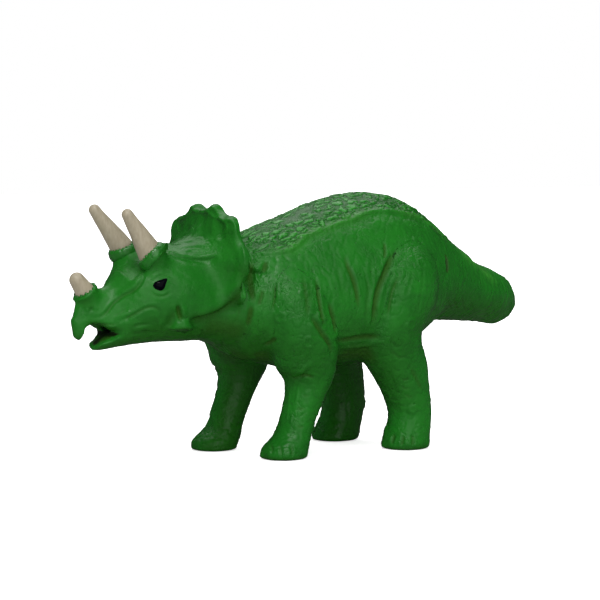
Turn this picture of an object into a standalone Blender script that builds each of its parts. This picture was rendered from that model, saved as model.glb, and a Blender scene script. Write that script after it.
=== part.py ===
"""Toy horned dinosaur standing on four feet, moulded in solid plastic as thirteen pieces that plug together.

The head, the tail and the four legs each carry a peg that is glued into a blind hole in the torso. The lower
jaw, the three horns and the two eyes are glued into the head. Nothing moves on the finished toy.

While the pieces are made, X runs from the beak to the tail, +Y is the animal's right side and Z is up
from the floor. At the end everything is shifted so that the origin lies under the middle of the figure.
"""

import math

import bmesh
import bpy
from mathutils import Quaternion, Vector

# Fits between the mouldings
SEAM_GAP = 0.0003  # between glued faces, and round every peg
CUT_OVERRUN = 0.003  # how far a cutter runs past the face it cuts

# Trunk, from the neck seam to the tip of the tail
NECK_SEAM_X = -0.037
TRUNK_LENGTH = 0.1345
BACK_HEIGHT = 0.0853
BODY_WIDTH = 0.0526
TAIL_SWING = 0.031
BAND_RISE = 0.0006  # how far the bumpy band along the back stands out
BAND_POINTS = 4  # points of a cross-section on each side of its top that lie on the band
BAND_EDGE_SHARE = 0.7  # how close the next point down is drawn up to the edge of the band

# Head, from the tip of the beak to the neck seam
HEAD_LENGTH = 0.0550
HEAD_DEPTH = 0.0316
HEAD_WIDTH = 0.034
CHIN_HEIGHT = 0.0374

# Neck frill
FRILL_RIM_X = -0.0438
FRILL_CENTRE_HEIGHT = 0.063
FRILL_HALF_WIDTH = 0.0211
FRILL_RISE = 0.0175
FRILL_DROP = 0.0160
FRILL_SWEEP = 0.024
FRILL_REAR_SWEEP = 0.008
FRILL_THICKNESS = 0.0034
FRILL_LOBE_DEPTH = 0.0025
FRILL_LOBE_STEP = math.radians(34)

# Horns, from the collar to the tip
BROW_HORN_LENGTH = 0.0173
BROW_HORN_RADIUS = 0.0041
BROW_HORN_TIP_RADIUS = 0.0019
NOSE_HORN_LENGTH = 0.0070
NOSE_HORN_RADIUS = 0.0034
NOSE_HORN_TIP_RADIUS = 0.0021
BROW_COLLAR_WALL = 0.0011
NOSE_COLLAR_WALL = 0.0006
COLLAR_HEIGHT = 0.0028
COLLAR_ROOT = 0.0045
HORN_PEG_LENGTH = 0.0045
HORN_PEG_WALL = 0.0013  # of horn left round the peg at the base

# Cheek bosses
CHEEK_BOSS_RADIUS = 0.0052
CHEEK_BOSS_SPREAD = 0.0228  # between the middles of the two

# Eyes
EYE_RADIUS = 0.0024
EYE_STAND = 0.0008  # how far the bead stands out of the skin

# Legs
WHEELBASE = 0.049
TRACK = 0.0336
HIP_INSET = 0.0088  # from the widest part of the body to the middle of a hip or shoulder
FRONT_STEP = 0.0052  # how far the right foot stands ahead of the left one
HIND_STEP = 0.0050
FRONT_LEG_HEIGHT = 0.064
FRONT_LEG_WIDTH = 0.026
HIND_LEG_HEIGHT = 0.073
HIND_LEG_WIDTH = 0.0316
TOE_DEPTH = 0.0007
TOE_STEP = math.radians(38)
TOE_COUNT = 4

# Pegs
LEG_PEG_RADIUS = 0.0042
LEG_PEG_LENGTH = 0.0065
NECK_PEG_RADIUS = 0.009
NECK_PEG_LENGTH = 0.008
TAIL_PEG_RADIUS = 0.006
TAIL_PEG_LENGTH = 0.008
JAW_PEG_RADIUS = 0.003
JAW_PEG_HEIGHT = 0.005
PEG_ROOT = 0.003  # how far a peg starts inside its own moulding

# Each row: along the trunk, height of the back, height of the belly, half width, swing to the right, narrowing
TRUNK_SHARES = [
    (0.000, 0.785, 0.422, 0.333, 0.00, 0.12),
    (0.052, 0.829, 0.368, 0.402, 0.00, 0.15),
    (0.126, 0.873, 0.340, 0.458, 0.00, 0.16),
    (0.230, 0.922, 0.321, 0.491, 0.00, 0.16),
    (0.335, 0.975, 0.319, 0.500, 0.00, 0.16),
    (0.446, 1.000, 0.348, 0.487, 0.00, 0.16),
    (0.543, 0.945, 0.395, 0.422, 0.00, 0.14),
    (0.639, 0.826, 0.471, 0.310, 0.00, 0.08),
    (0.729, 0.732, 0.474, 0.221, 0.02, 0.00),
    (0.818, 0.687, 0.458, 0.186, 0.09, 0.00),
    (0.892, 0.644, 0.449, 0.152, 0.24, 0.00),
    (0.948, 0.618, 0.465, 0.120, 0.47, 0.00),
    (0.981, 0.603, 0.492, 0.087, 0.71, 0.00),
    (0.996, 0.596, 0.518, 0.057, 0.89, 0.00),
    (1.000, 0.587, 0.549, 0.019, 1.00, 0.00),
]
TAIL_SEAM_ROW = 7

# Each row: along the head, top and bottom above the chin, half width, narrowing towards the top
HEAD_SHARES = [
    (0.000, 0.390, 0.230, 0.025, 0.00),
    (0.012, 0.450, 0.140, 0.045, 0.05),
    (0.040, 0.515, 0.090, 0.065, 0.10),
    (0.080, 0.560, 0.010, 0.095, 0.20),
    (0.115, 0.580, -0.016, 0.128, 0.25),
    (0.170, 0.605, -0.013, 0.180, 0.28),
    (0.224, 0.635, 0.000, 0.232, 0.28),
    (0.278, 0.750, 0.010, 0.290, 0.25),
    (0.332, 0.895, 0.020, 0.345, 0.15),
    (0.404, 1.000, 0.030, 0.400, 0.10),
    (0.495, 1.020, 0.040, 0.450, 0.10),
    (0.603, 1.045, 0.040, 0.480, 0.12),
    (0.729, 1.020, 0.035, 0.475, 0.12),
    (0.856, 0.975, 0.030, 0.460, 0.12),
]

# Each row: height, forward of the foot, outward of the foot, half length, half thickness
FRONT_LEG_SHARES = [
    (1.000, -0.16, -0.150, 0.18, 0.15),
    (0.880, -0.17, -0.020, 0.38, 0.31),
    (0.740, -0.21, 0.020, 0.47, 0.385),
    (0.610, -0.265, 0.030, 0.465, 0.390),
    (0.520, -0.310, 0.010, 0.430, 0.360),
    (0.455, -0.32, 0.000, 0.41, 0.320),
    (0.400, -0.36, 0.000, 0.33, 0.285),
    (0.310, -0.29, 0.000, 0.26, 0.258),
    (0.180, -0.150, 0.000, 0.235, 0.238),
    (0.115, -0.080, 0.000, 0.235, 0.255),
    (0.060, 0.020, 0.000, 0.290, 0.290),
    (0.020, 0.050, 0.000, 0.305, 0.300),
    (0.000, 0.050, 0.000, 0.280, 0.278),
]
HIND_LEG_SHARES = [
    (1.000, 0.03, -0.170, 0.17, 0.13),
    (0.900, 0.04, -0.020, 0.36, 0.27),
    (0.790, 0.07, 0.010, 0.47, 0.355),
    (0.660, 0.145, 0.020, 0.485, 0.370),
    (0.540, 0.240, 0.005, 0.400, 0.340),
    (0.440, 0.168, -0.005, 0.367, 0.290),
    (0.310, 0.03, -0.005, 0.295, 0.245),
    (0.190, -0.055, -0.005, 0.250, 0.222),
    (0.115, -0.040, -0.005, 0.240, 0.225),
    (0.055, 0.000, 0.000, 0.250, 0.248),
    (0.018, 0.020, 0.000, 0.265, 0.256),
    (0.000, 0.020, 0.000, 0.245, 0.238),
]
FRONT_STEP_FADE = 1.3  # how fast a step fades out towards the shoulder or the hip
HIND_STEP_FADE = 2.5
LEG_PEG_HEIGHT_SHARE = 0.68
TOE_TOP_SHARE = 0.12

# The open mouth seen from the left: along the head, and height above the chin
MOUTH_SHARES = [
    (0.026, -0.15),
    (0.034, 0.080),
    (0.046, 0.150),
    (0.066, 0.215),
    (0.096, 0.255),
    (0.140, 0.265),
    (0.190, 0.240),
    (0.235, 0.190),
    (0.190, 0.125),
    (0.160, 0.085),
    (0.145, 0.062),
    (0.131, 0.030),
    (0.119, -0.15),
]
THROAT_SHARES = (0.27, 0.205)  # middle of the hollow behind the mouth
# What belongs to the lower jaw: up through the open mouth, then from its corner to the throat
JAW_EDGE_SHARES = [
    (0.060, -0.60),
    (0.060, -0.15),
    (0.075, 0.020),
    (0.095, 0.100),
    (0.140, 0.180),
    (0.235, 0.190),
    (0.750, 0.160),
    (0.750, -0.60),
]
JAW_CORNER = 5  # the row at the corner of the mouth

# Places of what is set into the head: along the head, and angle up from the side
BROW_HORN_SEAT_SHARE = 0.425
BROW_HORN_SEAT_ANGLE = math.radians(58)
BROW_HORN_AXIS = Vector((-0.56, 0.12, 0.82)).normalized()
NOSE_HORN_SEAT_SHARE = 0.075
NOSE_HORN_AXIS = Vector((-0.55, 0.0, 0.84)).normalized()
EYE_SEAT_SHARE = 0.448
EYE_SEAT_ANGLE = math.radians(13)
JAW_PEG_SHARE = 0.50
CHEEK_BOSS_SHARES = (0.585, 0.190)

# How finely the surfaces are divided
TRUNK_POINTS = 28
TRUNK_STEPS = 2
HEAD_POINTS = 32
HEAD_STEPS = 2
FRILL_POINTS = 64
LEG_POINTS = 24
LEG_STEPS = 2
PEG_POINTS = 24
HORN_POINTS = 16

ROUNDED = 2.0
SQUARED = 2.6
FLARE_POWER = 1.5

figure = None


def make_material(name, colour, roughness):
    material = bpy.data.materials.new(name)
    material.use_nodes = True
    shader = material.node_tree.nodes["Principled BSDF"]
    shader.inputs["Base Color"].default_value = (*colour, 1.0)
    shader.inputs["Roughness"].default_value = roughness
    shader.inputs["Metallic"].default_value = 0.0
    return material


def smooth_rows(rows, steps):
    """Rows read from a smooth curve through the given ones, with this many steps to each span."""
    padded = [Vector(row) for row in (rows[0], *rows, rows[-1])]
    made = []
    for a, b, c, d in zip(padded, padded[1:], padded[2:], padded[3:]):
        for step in range(steps):
            t = step / steps
            made.append(
                0.5 * (2 * b + (c - a) * t + (2 * a - 5 * b + 4 * c - d) * t**2 + (3 * b - a - 3 * c + d) * t**3)
            )
    made.append(padded[-1])
    return made


def rounded(value, power):
    return math.copysign(abs(value) ** (2 / power), value)


def oval(centre, across, upward, half_width, half_height, count, narrowing=0.0, power=ROUNDED):
    """Points round an oval that narrows towards its top. The first point lies along +across."""
    points = []
    for k in range(count):
        turn = 2 * math.pi * k / count
        side = half_width * rounded(math.cos(turn), power) * (1 - narrowing * math.sin(turn))
        rise = half_height * rounded(math.sin(turn), power)
        points.append(centre + across * side + upward * rise)
    return points


def mesh_object(name, mesh, material=None):
    made = bpy.data.objects.new(name, mesh)
    bpy.context.scene.collection.objects.link(made)
    made.parent = figure
    if material:
        made.data.materials.append(material)
    else:
        made.hide_render = True
        made.display_type = "WIRE"
    return made


def loft(name, rings, material=None):
    """A closed solid through rings of points, flat at its two ends. Without a material it is a helper."""
    body = bmesh.new()
    made = [[body.verts.new(point) for point in ring] for ring in rings]
    for near, far in zip(made, made[1:]):
        for k in range(len(near)):
            after = (k + 1) % len(near)
            body.faces.new((near[k], near[after], far[after], far[k]))
    body.faces.new(made[0])
    body.faces.new(made[-1])
    bmesh.ops.recalc_face_normals(body, faces=body.faces)
    bmesh.ops.triangulate(body, faces=body.faces, quad_method="SHORT_EDGE")
    mesh = bpy.data.meshes.new(name)
    body.to_mesh(mesh)
    body.free()
    mesh.shade_smooth()
    mesh.set_sharp_from_angle(angle=math.radians(40))
    return mesh_object(name, mesh, material)


def prism(name, outline, half_width):
    """A helper solid: a side-view outline of (x, z) points carried across the figure."""
    rings = [[Vector((x, y, z)) for x, z in outline] for y in (-half_width, half_width)]
    return loft(name, rings)


def turned(name, start, direction, profile, count, material=None):
    """A round solid about an axis, from (distance along the axis, radius). Its edges stay off the figure's middle."""
    level = direction.orthogonal().normalized()
    across = Quaternion(direction, math.pi / (2 * count)) @ level
    upward = direction.cross(across)
    rings = [oval(start + direction * z, across, upward, r, r, count) for z, r in profile]
    return loft(name, rings, material)


def peg(name, start, end, radius):
    direction = (end - start).normalized()
    return turned(name, start, direction, [(0, radius), ((end - start).length, radius)], PEG_POINTS)


def combine(target, other, operation):
    modifier = target.modifiers.new(f"{operation} {other.name}", "BOOLEAN")
    modifier.object = other
    modifier.operation = operation
    modifier.solver = "EXACT"


def cut(target, *cutters):
    for cutter in cutters:
        combine(target, cutter, "DIFFERENCE")


def join(target, *others):
    for other in others:
        combine(target, other, "UNION")


def trunk_rows():
    """Neck seam to tail tip as rows of (x, y, z, half width, half height, narrowing)."""
    rows = []
    for along, back, belly, half_width, swing, narrowing in TRUNK_SHARES:
        rows.append(
            (
                NECK_SEAM_X + along * TRUNK_LENGTH,
                swing * TAIL_SWING,
                (back + belly) / 2 * BACK_HEIGHT,
                half_width * BODY_WIDTH,
                (back - belly) / 2 * BACK_HEIGHT,
                narrowing,
            )
        )
    return smooth_rows(rows, TRUNK_STEPS)


def head_rows(trunk):
    """Beak tip to neck seam as rows of the same kind. The last one is the trunk's first."""
    front = NECK_SEAM_X - HEAD_LENGTH
    rows = []
    for along, top, bottom, half_width, narrowing in HEAD_SHARES:
        rows.append(
            (
                front + along * HEAD_LENGTH,
                0.0,
                CHIN_HEIGHT + (top + bottom) / 2 * HEAD_DEPTH,
                half_width * HEAD_WIDTH,
                (top - bottom) / 2 * HEAD_DEPTH,
                narrowing,
            )
        )
    return smooth_rows([*rows, tuple(trunk[0])], HEAD_STEPS)


def with_band(ring, centre, along):
    """A cross-section of the trunk with the raised band over its top. It fades out at the neck and the tail's tip."""
    top = len(ring) // 4
    made = list(ring)
    for side in (-1, 1):
        inner, outer = ring[top + side * BAND_POINTS], ring[top + side * (BAND_POINTS + 1)]
        made[top + side * (BAND_POINTS + 1)] = outer.lerp(inner, BAND_EDGE_SHARE)
    rise = BAND_RISE * min(1.0, 8 * along, 5 * (1 - along))
    for k in range(top - BAND_POINTS, top + BAND_POINTS + 1):
        made[k] = ring[k] + (ring[k] - centre).normalized() * rise
    return made


def path_rings(rows, count, grow=0.0):
    """Cross-sections square to the line through the rows' centres. The first one stands square to X."""
    rings = []
    for k, row in enumerate(rows):
        after = rows[min(k + 1, len(rows) - 1)]
        forward = (Vector(after[:3]) - Vector(rows[k - 1][:3])).normalized() if k else Vector((1, 0, 0))
        across = Vector((0, 0, 1)).cross(forward).normalized()
        upward = forward.cross(across)
        ring = oval(Vector(row[:3]), across, upward, row[3] + grow, row[4] + grow, count, row[5])
        rings.append(with_band(ring, Vector(row[:3]), k / (len(rows) - 1)))
    return rings


def upright_rings(rows, count):
    """Cross-sections that all stand square to X."""
    rings = []
    for row in rows:
        rings.append(oval(Vector(row[:3]), Vector((0, 1, 0)), Vector((0, 0, 1)), row[3], row[4], count, row[5]))
    return rings


def row_at(rows, x):
    """The row of a list, read between its two nearest, at a place along X."""
    for near, far in zip(rows, rows[1:]):
        if near[0] <= x <= far[0]:
            return near.lerp(far, (x - near[0]) / (far[0] - near[0]))
    return rows[0] if x < rows[0][0] else rows[-1]


def skin_point(rows, x, angle, side):
    """A point on the skin, at an angle up from the widest line, on the left (-1) or the right (1)."""
    row = row_at(rows, x)
    half_width = row[3] * math.cos(angle) * (1 - row[5] * math.sin(angle))
    return Vector((x, side * half_width, row[2] + row[4] * math.sin(angle)))


def moved(rings, offset):
    return [[point + offset for point in ring] for ring in rings]


def make_torso(trunk, green):
    """The body between the neck seam and the tail seam."""
    seam = TAIL_SEAM_ROW * TRUNK_STEPS
    return loft("torso", path_rings(trunk, TRUNK_POINTS)[: seam + 1], green)


def torso_envelope(trunk):
    """The torso's outside, grown by the seam gap, which trims what is glued on to it."""
    seam = TAIL_SEAM_ROW * TRUNK_STEPS
    rings = path_rings(trunk, TRUNK_POINTS, SEAM_GAP)[: seam + 1]
    return loft("torso_envelope", rings)


def make_tail(trunk, torso, green):
    seam = TAIL_SEAM_ROW * TRUNK_STEPS
    rings = path_rings(trunk, TRUNK_POINTS)
    direction = (Vector(trunk[seam + 1][:3]) - Vector(trunk[seam - 1][:3])).normalized()
    tail = loft("tail", moved(rings[seam:], direction * SEAM_GAP), green)
    centre = Vector(trunk[seam][:3])
    root = centre + direction * PEG_ROOT
    tip = centre - direction * TAIL_PEG_LENGTH
    join(tail, peg("tail_peg", root, tip, TAIL_PEG_RADIUS))
    hole_end = tip - direction * SEAM_GAP
    cut(torso, peg("tail_peg_hole", centre + direction * CUT_OVERRUN, hole_end, TAIL_PEG_RADIUS + SEAM_GAP))
    return tail


def leg_rows(shares, height, width, foot_x, step, fade, side):
    """Shoulder to sole as rows of (x, y, z, half length, half thickness)."""
    rows = []
    for share, forward, outward, half_length, half_thickness in shares:
        x = foot_x - forward * width - side * step / 2 * (1 - share) ** fade
        spread = (1 - share) * TRACK / 2 + share * (BODY_WIDTH / 2 - HIP_INSET)
        y = side * (spread + outward * width)
        rows.append((x, y, share * height, half_length * width, half_thickness * width))
    return smooth_rows(rows, LEG_STEPS)


def toe_swell(turn, height, toe_top):
    """How far the foot bulges at an angle from straight ahead, for toes that fade out above the sole."""
    spread = TOE_STEP * TOE_COUNT / 2
    if abs(turn) > spread or height > toe_top:
        return 0.0
    return TOE_DEPTH * abs(math.sin(math.pi * turn / TOE_STEP)) * (1 - height / toe_top) ** 0.5


def leg_ring(row, toe_top):
    """A level cross-section of a leg, with its toes at the front."""
    centre = Vector(row[:3])
    ring = []
    for point in oval(centre, Vector((-1, 0, 0)), Vector((0, 1, 0)), row[3], row[4], LEG_POINTS):
        outward = (point - centre).normalized()
        turn = math.atan2(outward.y, -outward.x)
        ring.append(point + outward * toe_swell(turn, row[2], toe_top))
    return ring


def make_leg(name, shares, height, width, foot_x, step, fade, side, trunk, torso, envelope, green):
    rows = leg_rows(shares, height, width, foot_x, step, fade, side)
    leg = loft(name, [leg_ring(row, TOE_TOP_SHARE * height) for row in rows], green)
    cut(leg, envelope)
    peg_z = LEG_PEG_HEIGHT_SHARE * height
    above, below = min(zip(rows, rows[1:]), key=lambda pair: abs(pair[0][2] - peg_z))
    peg_x = (above[0] + below[0]) / 2
    body = row_at(trunk, peg_x)
    rise = math.asin((peg_z - body[2]) / body[4])
    skin = skin_point(trunk, peg_x, rise, side)
    outer_y = side * (abs(above[1]) + above[4])
    root = Vector((peg_x, (skin.y + outer_y) / 2, peg_z))
    tip = Vector((peg_x, skin.y - side * LEG_PEG_LENGTH, peg_z))
    inward = Vector((0, -side, 0))
    join(leg, peg(f"{name}_peg", root, tip, LEG_PEG_RADIUS))
    hole_start = skin - inward * CUT_OVERRUN
    hole_end = tip + inward * SEAM_GAP
    cut(torso, peg(f"{name}_peg_hole", hole_start, hole_end, LEG_PEG_RADIUS + SEAM_GAP))
    return leg


def frill_reach(turn, share):
    """Distance from the frill's middle to its edge at an angle from the top, for a ring of this share."""
    rise = FRILL_RISE if abs(turn) < math.pi / 2 else FRILL_DROP
    side, top = abs(math.sin(turn)), abs(math.cos(turn))
    reach = ((side / FRILL_HALF_WIDTH) ** SQUARED + (top / rise) ** SQUARED) ** (-1 / SQUARED)
    wave = (1 - math.cos(2 * math.pi * turn / FRILL_LOBE_STEP)) / 2
    return share * reach + FRILL_LOBE_DEPTH * wave * share**4


def frill_ring(share, x):
    ring = []
    for k in range(FRILL_POINTS):
        turn = 2 * math.pi * (k + 0.5) / FRILL_POINTS - math.pi
        reach = frill_reach(turn, share)
        ring.append(Vector((x, reach * math.sin(turn), FRILL_CENTRE_HEIGHT + reach * math.cos(turn))))
    return ring


def make_frill():
    """A dish that flares back from the skull to a scalloped rim."""
    front_shares = (0.20, 0.35, 0.50, 0.64, 0.77, 0.88, 0.965)
    rear_shares = (0.975, 0.90, 0.78, 0.60, 0.35)
    rim_share = 0.25
    rings = [frill_ring(s, FRILL_RIM_X - FRILL_SWEEP * (1 - s) ** FLARE_POWER) for s in front_shares]
    rings.append(frill_ring(1.0, FRILL_RIM_X + rim_share * FRILL_THICKNESS))
    rings.append(frill_ring(1.0, FRILL_RIM_X + (1 - rim_share) * FRILL_THICKNESS))
    rear_x = FRILL_RIM_X + FRILL_THICKNESS
    rings += [frill_ring(s, rear_x - FRILL_REAR_SWEEP * (1 - s) ** FLARE_POWER) for s in rear_shares]
    return loft("frill", rings)


def side_view(shares):
    """Points of a side view, from shares along the head and above the chin."""
    front = NECK_SEAM_X - HEAD_LENGTH
    return [(front + along * HEAD_LENGTH, CHIN_HEIGHT + up * HEAD_DEPTH) for along, up in shares]


def cheek_boss(name, side):
    """The swelling low on a cheek, behind the corner of the mouth."""
    ((x, z),) = side_view([CHEEK_BOSS_SHARES])
    boss = bpy.data.meshes.new(name)
    body = bmesh.new()
    bmesh.ops.create_uvsphere(body, u_segments=14, v_segments=8, radius=CHEEK_BOSS_RADIUS)
    bmesh.ops.translate(body, verts=body.verts, vec=Vector((x, side * CHEEK_BOSS_SPREAD / 2, z)))
    body.to_mesh(boss)
    body.free()
    return mesh_object(name, boss)


def mouth_cutters():
    """The gap between the beak and the jaw, and the hollow behind it."""
    slot = prism("mouth_slot", side_view(MOUTH_SHARES), HEAD_WIDTH / 2)
    ((x, z),) = side_view([THROAT_SHARES])
    length_share, width_share, height_share = 0.075, 0.15, 0.05
    throat = bpy.data.meshes.new("throat")
    body = bmesh.new()
    bmesh.ops.create_uvsphere(body, u_segments=14, v_segments=8, radius=1)
    for vertex in body.verts:
        vertex.co.x = x + vertex.co.x * length_share * HEAD_LENGTH
        vertex.co.y = vertex.co.y * width_share * HEAD_WIDTH
        vertex.co.z = z + vertex.co.z * height_share * HEAD_DEPTH
    body.to_mesh(throat)
    body.free()
    return slot, mesh_object("throat", throat)


def jaw_region(name, grow):
    """What lies under the seam between the head and the lower jaw, grown by a gap behind the mouth."""
    edge = side_view(JAW_EDGE_SHARES)
    corner_x, _ = edge[JAW_CORNER]
    outline = [(x, z) if x < corner_x else (x + grow, z + grow) for x, z in edge]
    return prism(name, outline, HEAD_WIDTH)


def horn_profile(length, radius, tip_radius):
    """(distance from the seat, radius) from the foot of the peg to the rounded tip."""
    peg_radius = radius - HORN_PEG_WALL
    profile = [(-HORN_PEG_LENGTH, peg_radius), (0, peg_radius), (0, radius)]
    taper_shares = [(0.25, 0.77), (0.50, 0.53), (0.75, 0.28)]
    straight = length - tip_radius
    profile += [(share * straight, tip_radius + (radius - tip_radius) * left) for share, left in taper_shares]
    for degrees in (0, 30, 55, 75):
        bend = math.radians(degrees)
        profile.append((straight + tip_radius * math.sin(bend), tip_radius * math.cos(bend)))
    return profile


def make_horn(name, seat, axis, length, radius, tip_radius, collar_wall, head, cream):
    """A horn with a peg, and the collar and the blind hole in the head that take it."""
    foot = seat + axis * (COLLAR_HEIGHT - HORN_PEG_WALL)
    collar_radius = radius + collar_wall
    collar_profile = [
        (-COLLAR_ROOT, collar_radius),
        (COLLAR_HEIGHT - collar_wall, collar_radius),
        (COLLAR_HEIGHT - collar_wall / 4, collar_radius - collar_wall / 4),
        (COLLAR_HEIGHT, radius),
    ]
    join(head, turned(f"{name}_collar", seat, axis, collar_profile, HORN_POINTS))
    hole_radius = radius - HORN_PEG_WALL + SEAM_GAP
    hole = [
        (-HORN_PEG_LENGTH - SEAM_GAP, hole_radius),
        (-SEAM_GAP, hole_radius),
        (-SEAM_GAP, radius + SEAM_GAP),
        (COLLAR_HEIGHT, radius + SEAM_GAP),
    ]
    cut(head, turned(f"{name}_seat", foot, axis, hole, HORN_POINTS))
    return turned(name, foot, axis, horn_profile(length, radius, tip_radius), HORN_POINTS, cream)


def make_eye(name, rows, side, head, black):
    """A round bead, and the hollow in the head that holds it."""
    x = NECK_SEAM_X - HEAD_LENGTH + EYE_SEAT_SHARE * HEAD_LENGTH
    skin = skin_point(rows, x, EYE_SEAT_ANGLE, side)
    centre = skin - Vector((0, side * (EYE_RADIUS - EYE_STAND), 0))
    made = []
    for label, radius, material in ((name, EYE_RADIUS, black), (f"{name}_seat", EYE_RADIUS + SEAM_GAP, None)):
        body = bmesh.new()
        bmesh.ops.create_uvsphere(body, u_segments=14, v_segments=8, radius=radius)
        bmesh.ops.translate(body, verts=body.verts, vec=centre)
        mesh = bpy.data.meshes.new(label)
        body.to_mesh(mesh)
        body.free()
        mesh.shade_smooth()
        made.append(mesh_object(label, mesh, material))
    cut(head, made[1])
    return made[0]


def make_head(trunk, torso, green, cream, black):
    """The head with its frill and neck, the lower jaw, the horns and the eyes."""
    rows = head_rows(trunk)
    shape = upright_rings(rows, HEAD_POINTS)
    front = NECK_SEAM_X - HEAD_LENGTH
    shape[-1] = moved([shape[-1]], Vector((-SEAM_GAP, 0, 0)))[0]
    head = loft("head", shape, green)
    jaw = loft("lower_jaw", shape, green)
    join(head, make_frill(), cheek_boss("cheek_boss_left", -1), cheek_boss("cheek_boss_right", 1))

    jaw_keep = jaw_region("jaw_keep", 0.0)
    jaw_clear = jaw_region("jaw_clear", SEAM_GAP)
    slot, throat = mouth_cutters()
    combine(jaw, jaw_keep, "INTERSECT")
    cut(jaw, slot, throat)
    cut(head, jaw_clear, slot, throat)

    _, seam_z = side_view(JAW_EDGE_SHARES)[JAW_CORNER]
    jaw_x = front + JAW_PEG_SHARE * HEAD_LENGTH
    root = Vector((jaw_x, 0, seam_z - PEG_ROOT))
    join(jaw, peg("jaw_peg", root, root + Vector((0, 0, PEG_ROOT + JAW_PEG_HEIGHT)), JAW_PEG_RADIUS))
    top = Vector((0, 0, PEG_ROOT + JAW_PEG_HEIGHT + SEAM_GAP))
    cut(head, peg("jaw_peg_hole", root, root + top, JAW_PEG_RADIUS + SEAM_GAP))

    nose_x = front + NOSE_HORN_SEAT_SHARE * HEAD_LENGTH
    nose_seat = skin_point(rows, nose_x, math.pi / 2, 1) - NOSE_HORN_AXIS * BROW_COLLAR_WALL
    nose_sizes = (NOSE_HORN_LENGTH, NOSE_HORN_RADIUS, NOSE_HORN_TIP_RADIUS, NOSE_COLLAR_WALL)
    make_horn("nose_horn", nose_seat, NOSE_HORN_AXIS, *nose_sizes, head, cream)
    brow_x = front + BROW_HORN_SEAT_SHARE * HEAD_LENGTH
    brow_sizes = (BROW_HORN_LENGTH, BROW_HORN_RADIUS, BROW_HORN_TIP_RADIUS, BROW_COLLAR_WALL)
    for name, side in (("brow_horn_left", -1), ("brow_horn_right", 1)):
        seat = skin_point(rows, brow_x, BROW_HORN_SEAT_ANGLE, side)
        axis = Vector((BROW_HORN_AXIS.x, side * BROW_HORN_AXIS.y, BROW_HORN_AXIS.z))
        make_horn(name, seat, axis, *brow_sizes, head, cream)
    for name, side in (("eye_left", -1), ("eye_right", 1)):
        make_eye(name, rows, side, head, black)

    centre = Vector(trunk[0][:3])
    root = centre - Vector((PEG_ROOT, 0, 0))
    tip = centre + Vector((NECK_PEG_LENGTH, 0, 0))
    join(head, peg("neck_peg", root, tip, NECK_PEG_RADIUS))
    hole_start = centre - Vector((CUT_OVERRUN, 0, 0))
    hole_end = tip + Vector((SEAM_GAP, 0, 0))
    cut(torso, peg("neck_peg_hole", hole_start, hole_end, NECK_PEG_RADIUS + SEAM_GAP))


def centre_figure():
    """Shifts the figure so that the origin lies on the floor under the middle of its box."""
    bpy.context.view_layer.update()
    graph = bpy.context.evaluated_depsgraph_get()
    corners = []
    for made in bpy.context.scene.objects:
        if made.type == "MESH" and not made.hide_render:
            evaluated = made.evaluated_get(graph)
            corners += [evaluated.matrix_world @ Vector(corner) for corner in evaluated.bound_box]
    for axis in (0, 1):
        values = [corner[axis] for corner in corners]
        figure.location[axis] = -(min(values) + max(values)) / 2


def build():
    global figure
    for old in list(bpy.data.objects):
        bpy.data.objects.remove(old)
    figure = bpy.data.objects.new("figure", None)
    bpy.context.scene.collection.objects.link(figure)
    green = make_material("green_skin", (0.022, 0.145, 0.024), 0.42)
    cream = make_material("horn_cream", (0.47, 0.39, 0.27), 0.5)
    black = make_material("eye_black", (0.004, 0.004, 0.006), 0.25)

    trunk = trunk_rows()
    torso = make_torso(trunk, green)
    envelope = torso_envelope(trunk)
    make_tail(trunk, torso, green)
    front_foot, hind_foot = -WHEELBASE / 2, WHEELBASE / 2
    front = (FRONT_LEG_SHARES, FRONT_LEG_HEIGHT, FRONT_LEG_WIDTH, front_foot, FRONT_STEP, FRONT_STEP_FADE)
    hind = (HIND_LEG_SHARES, HIND_LEG_HEIGHT, HIND_LEG_WIDTH, hind_foot, HIND_STEP, HIND_STEP_FADE)
    for place, sizes in (("front", front), ("hind", hind)):
        for hand, side in (("left", -1), ("right", 1)):
            make_leg(f"{place}_leg_{hand}", *sizes, side, trunk, torso, envelope, green)
    make_head(trunk, torso, green, cream, black)
    centre_figure()


build()
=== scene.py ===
import math

import bmesh
import bpy
import numpy as np
from mathutils import Matrix, Vector
from mathutils.bvhtree import BVHTree


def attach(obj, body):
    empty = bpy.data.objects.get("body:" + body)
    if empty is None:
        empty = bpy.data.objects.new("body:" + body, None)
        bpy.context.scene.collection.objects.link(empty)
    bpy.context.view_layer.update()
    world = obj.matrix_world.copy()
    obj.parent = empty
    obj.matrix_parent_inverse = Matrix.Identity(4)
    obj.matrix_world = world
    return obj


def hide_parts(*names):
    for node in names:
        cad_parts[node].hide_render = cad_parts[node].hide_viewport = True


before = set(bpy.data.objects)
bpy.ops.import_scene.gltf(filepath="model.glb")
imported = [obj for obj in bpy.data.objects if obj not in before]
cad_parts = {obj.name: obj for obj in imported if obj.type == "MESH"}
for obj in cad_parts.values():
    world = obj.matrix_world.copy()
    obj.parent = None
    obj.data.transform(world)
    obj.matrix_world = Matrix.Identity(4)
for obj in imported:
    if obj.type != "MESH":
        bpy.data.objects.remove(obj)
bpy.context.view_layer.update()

MM = 0.001

# The photograph's viewing angle, read from the feet on the floor and the horns.
VIEW_AZIMUTH = math.radians(-35.0)
VIEW_ELEVATION = math.radians(3.5)
VIEW_DISTANCE = 0.8375
VIEW_FOCUS = 2500.0  # pixels
PICTURE = 600.0  # pixels across and down
FLOOR_PIXEL = (313.0, 448.6)
FLOOR_POINT = Vector((-0.003643, -0.000952, 0.0))
MIDDLE_Y = FLOOR_POINT.y

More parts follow.
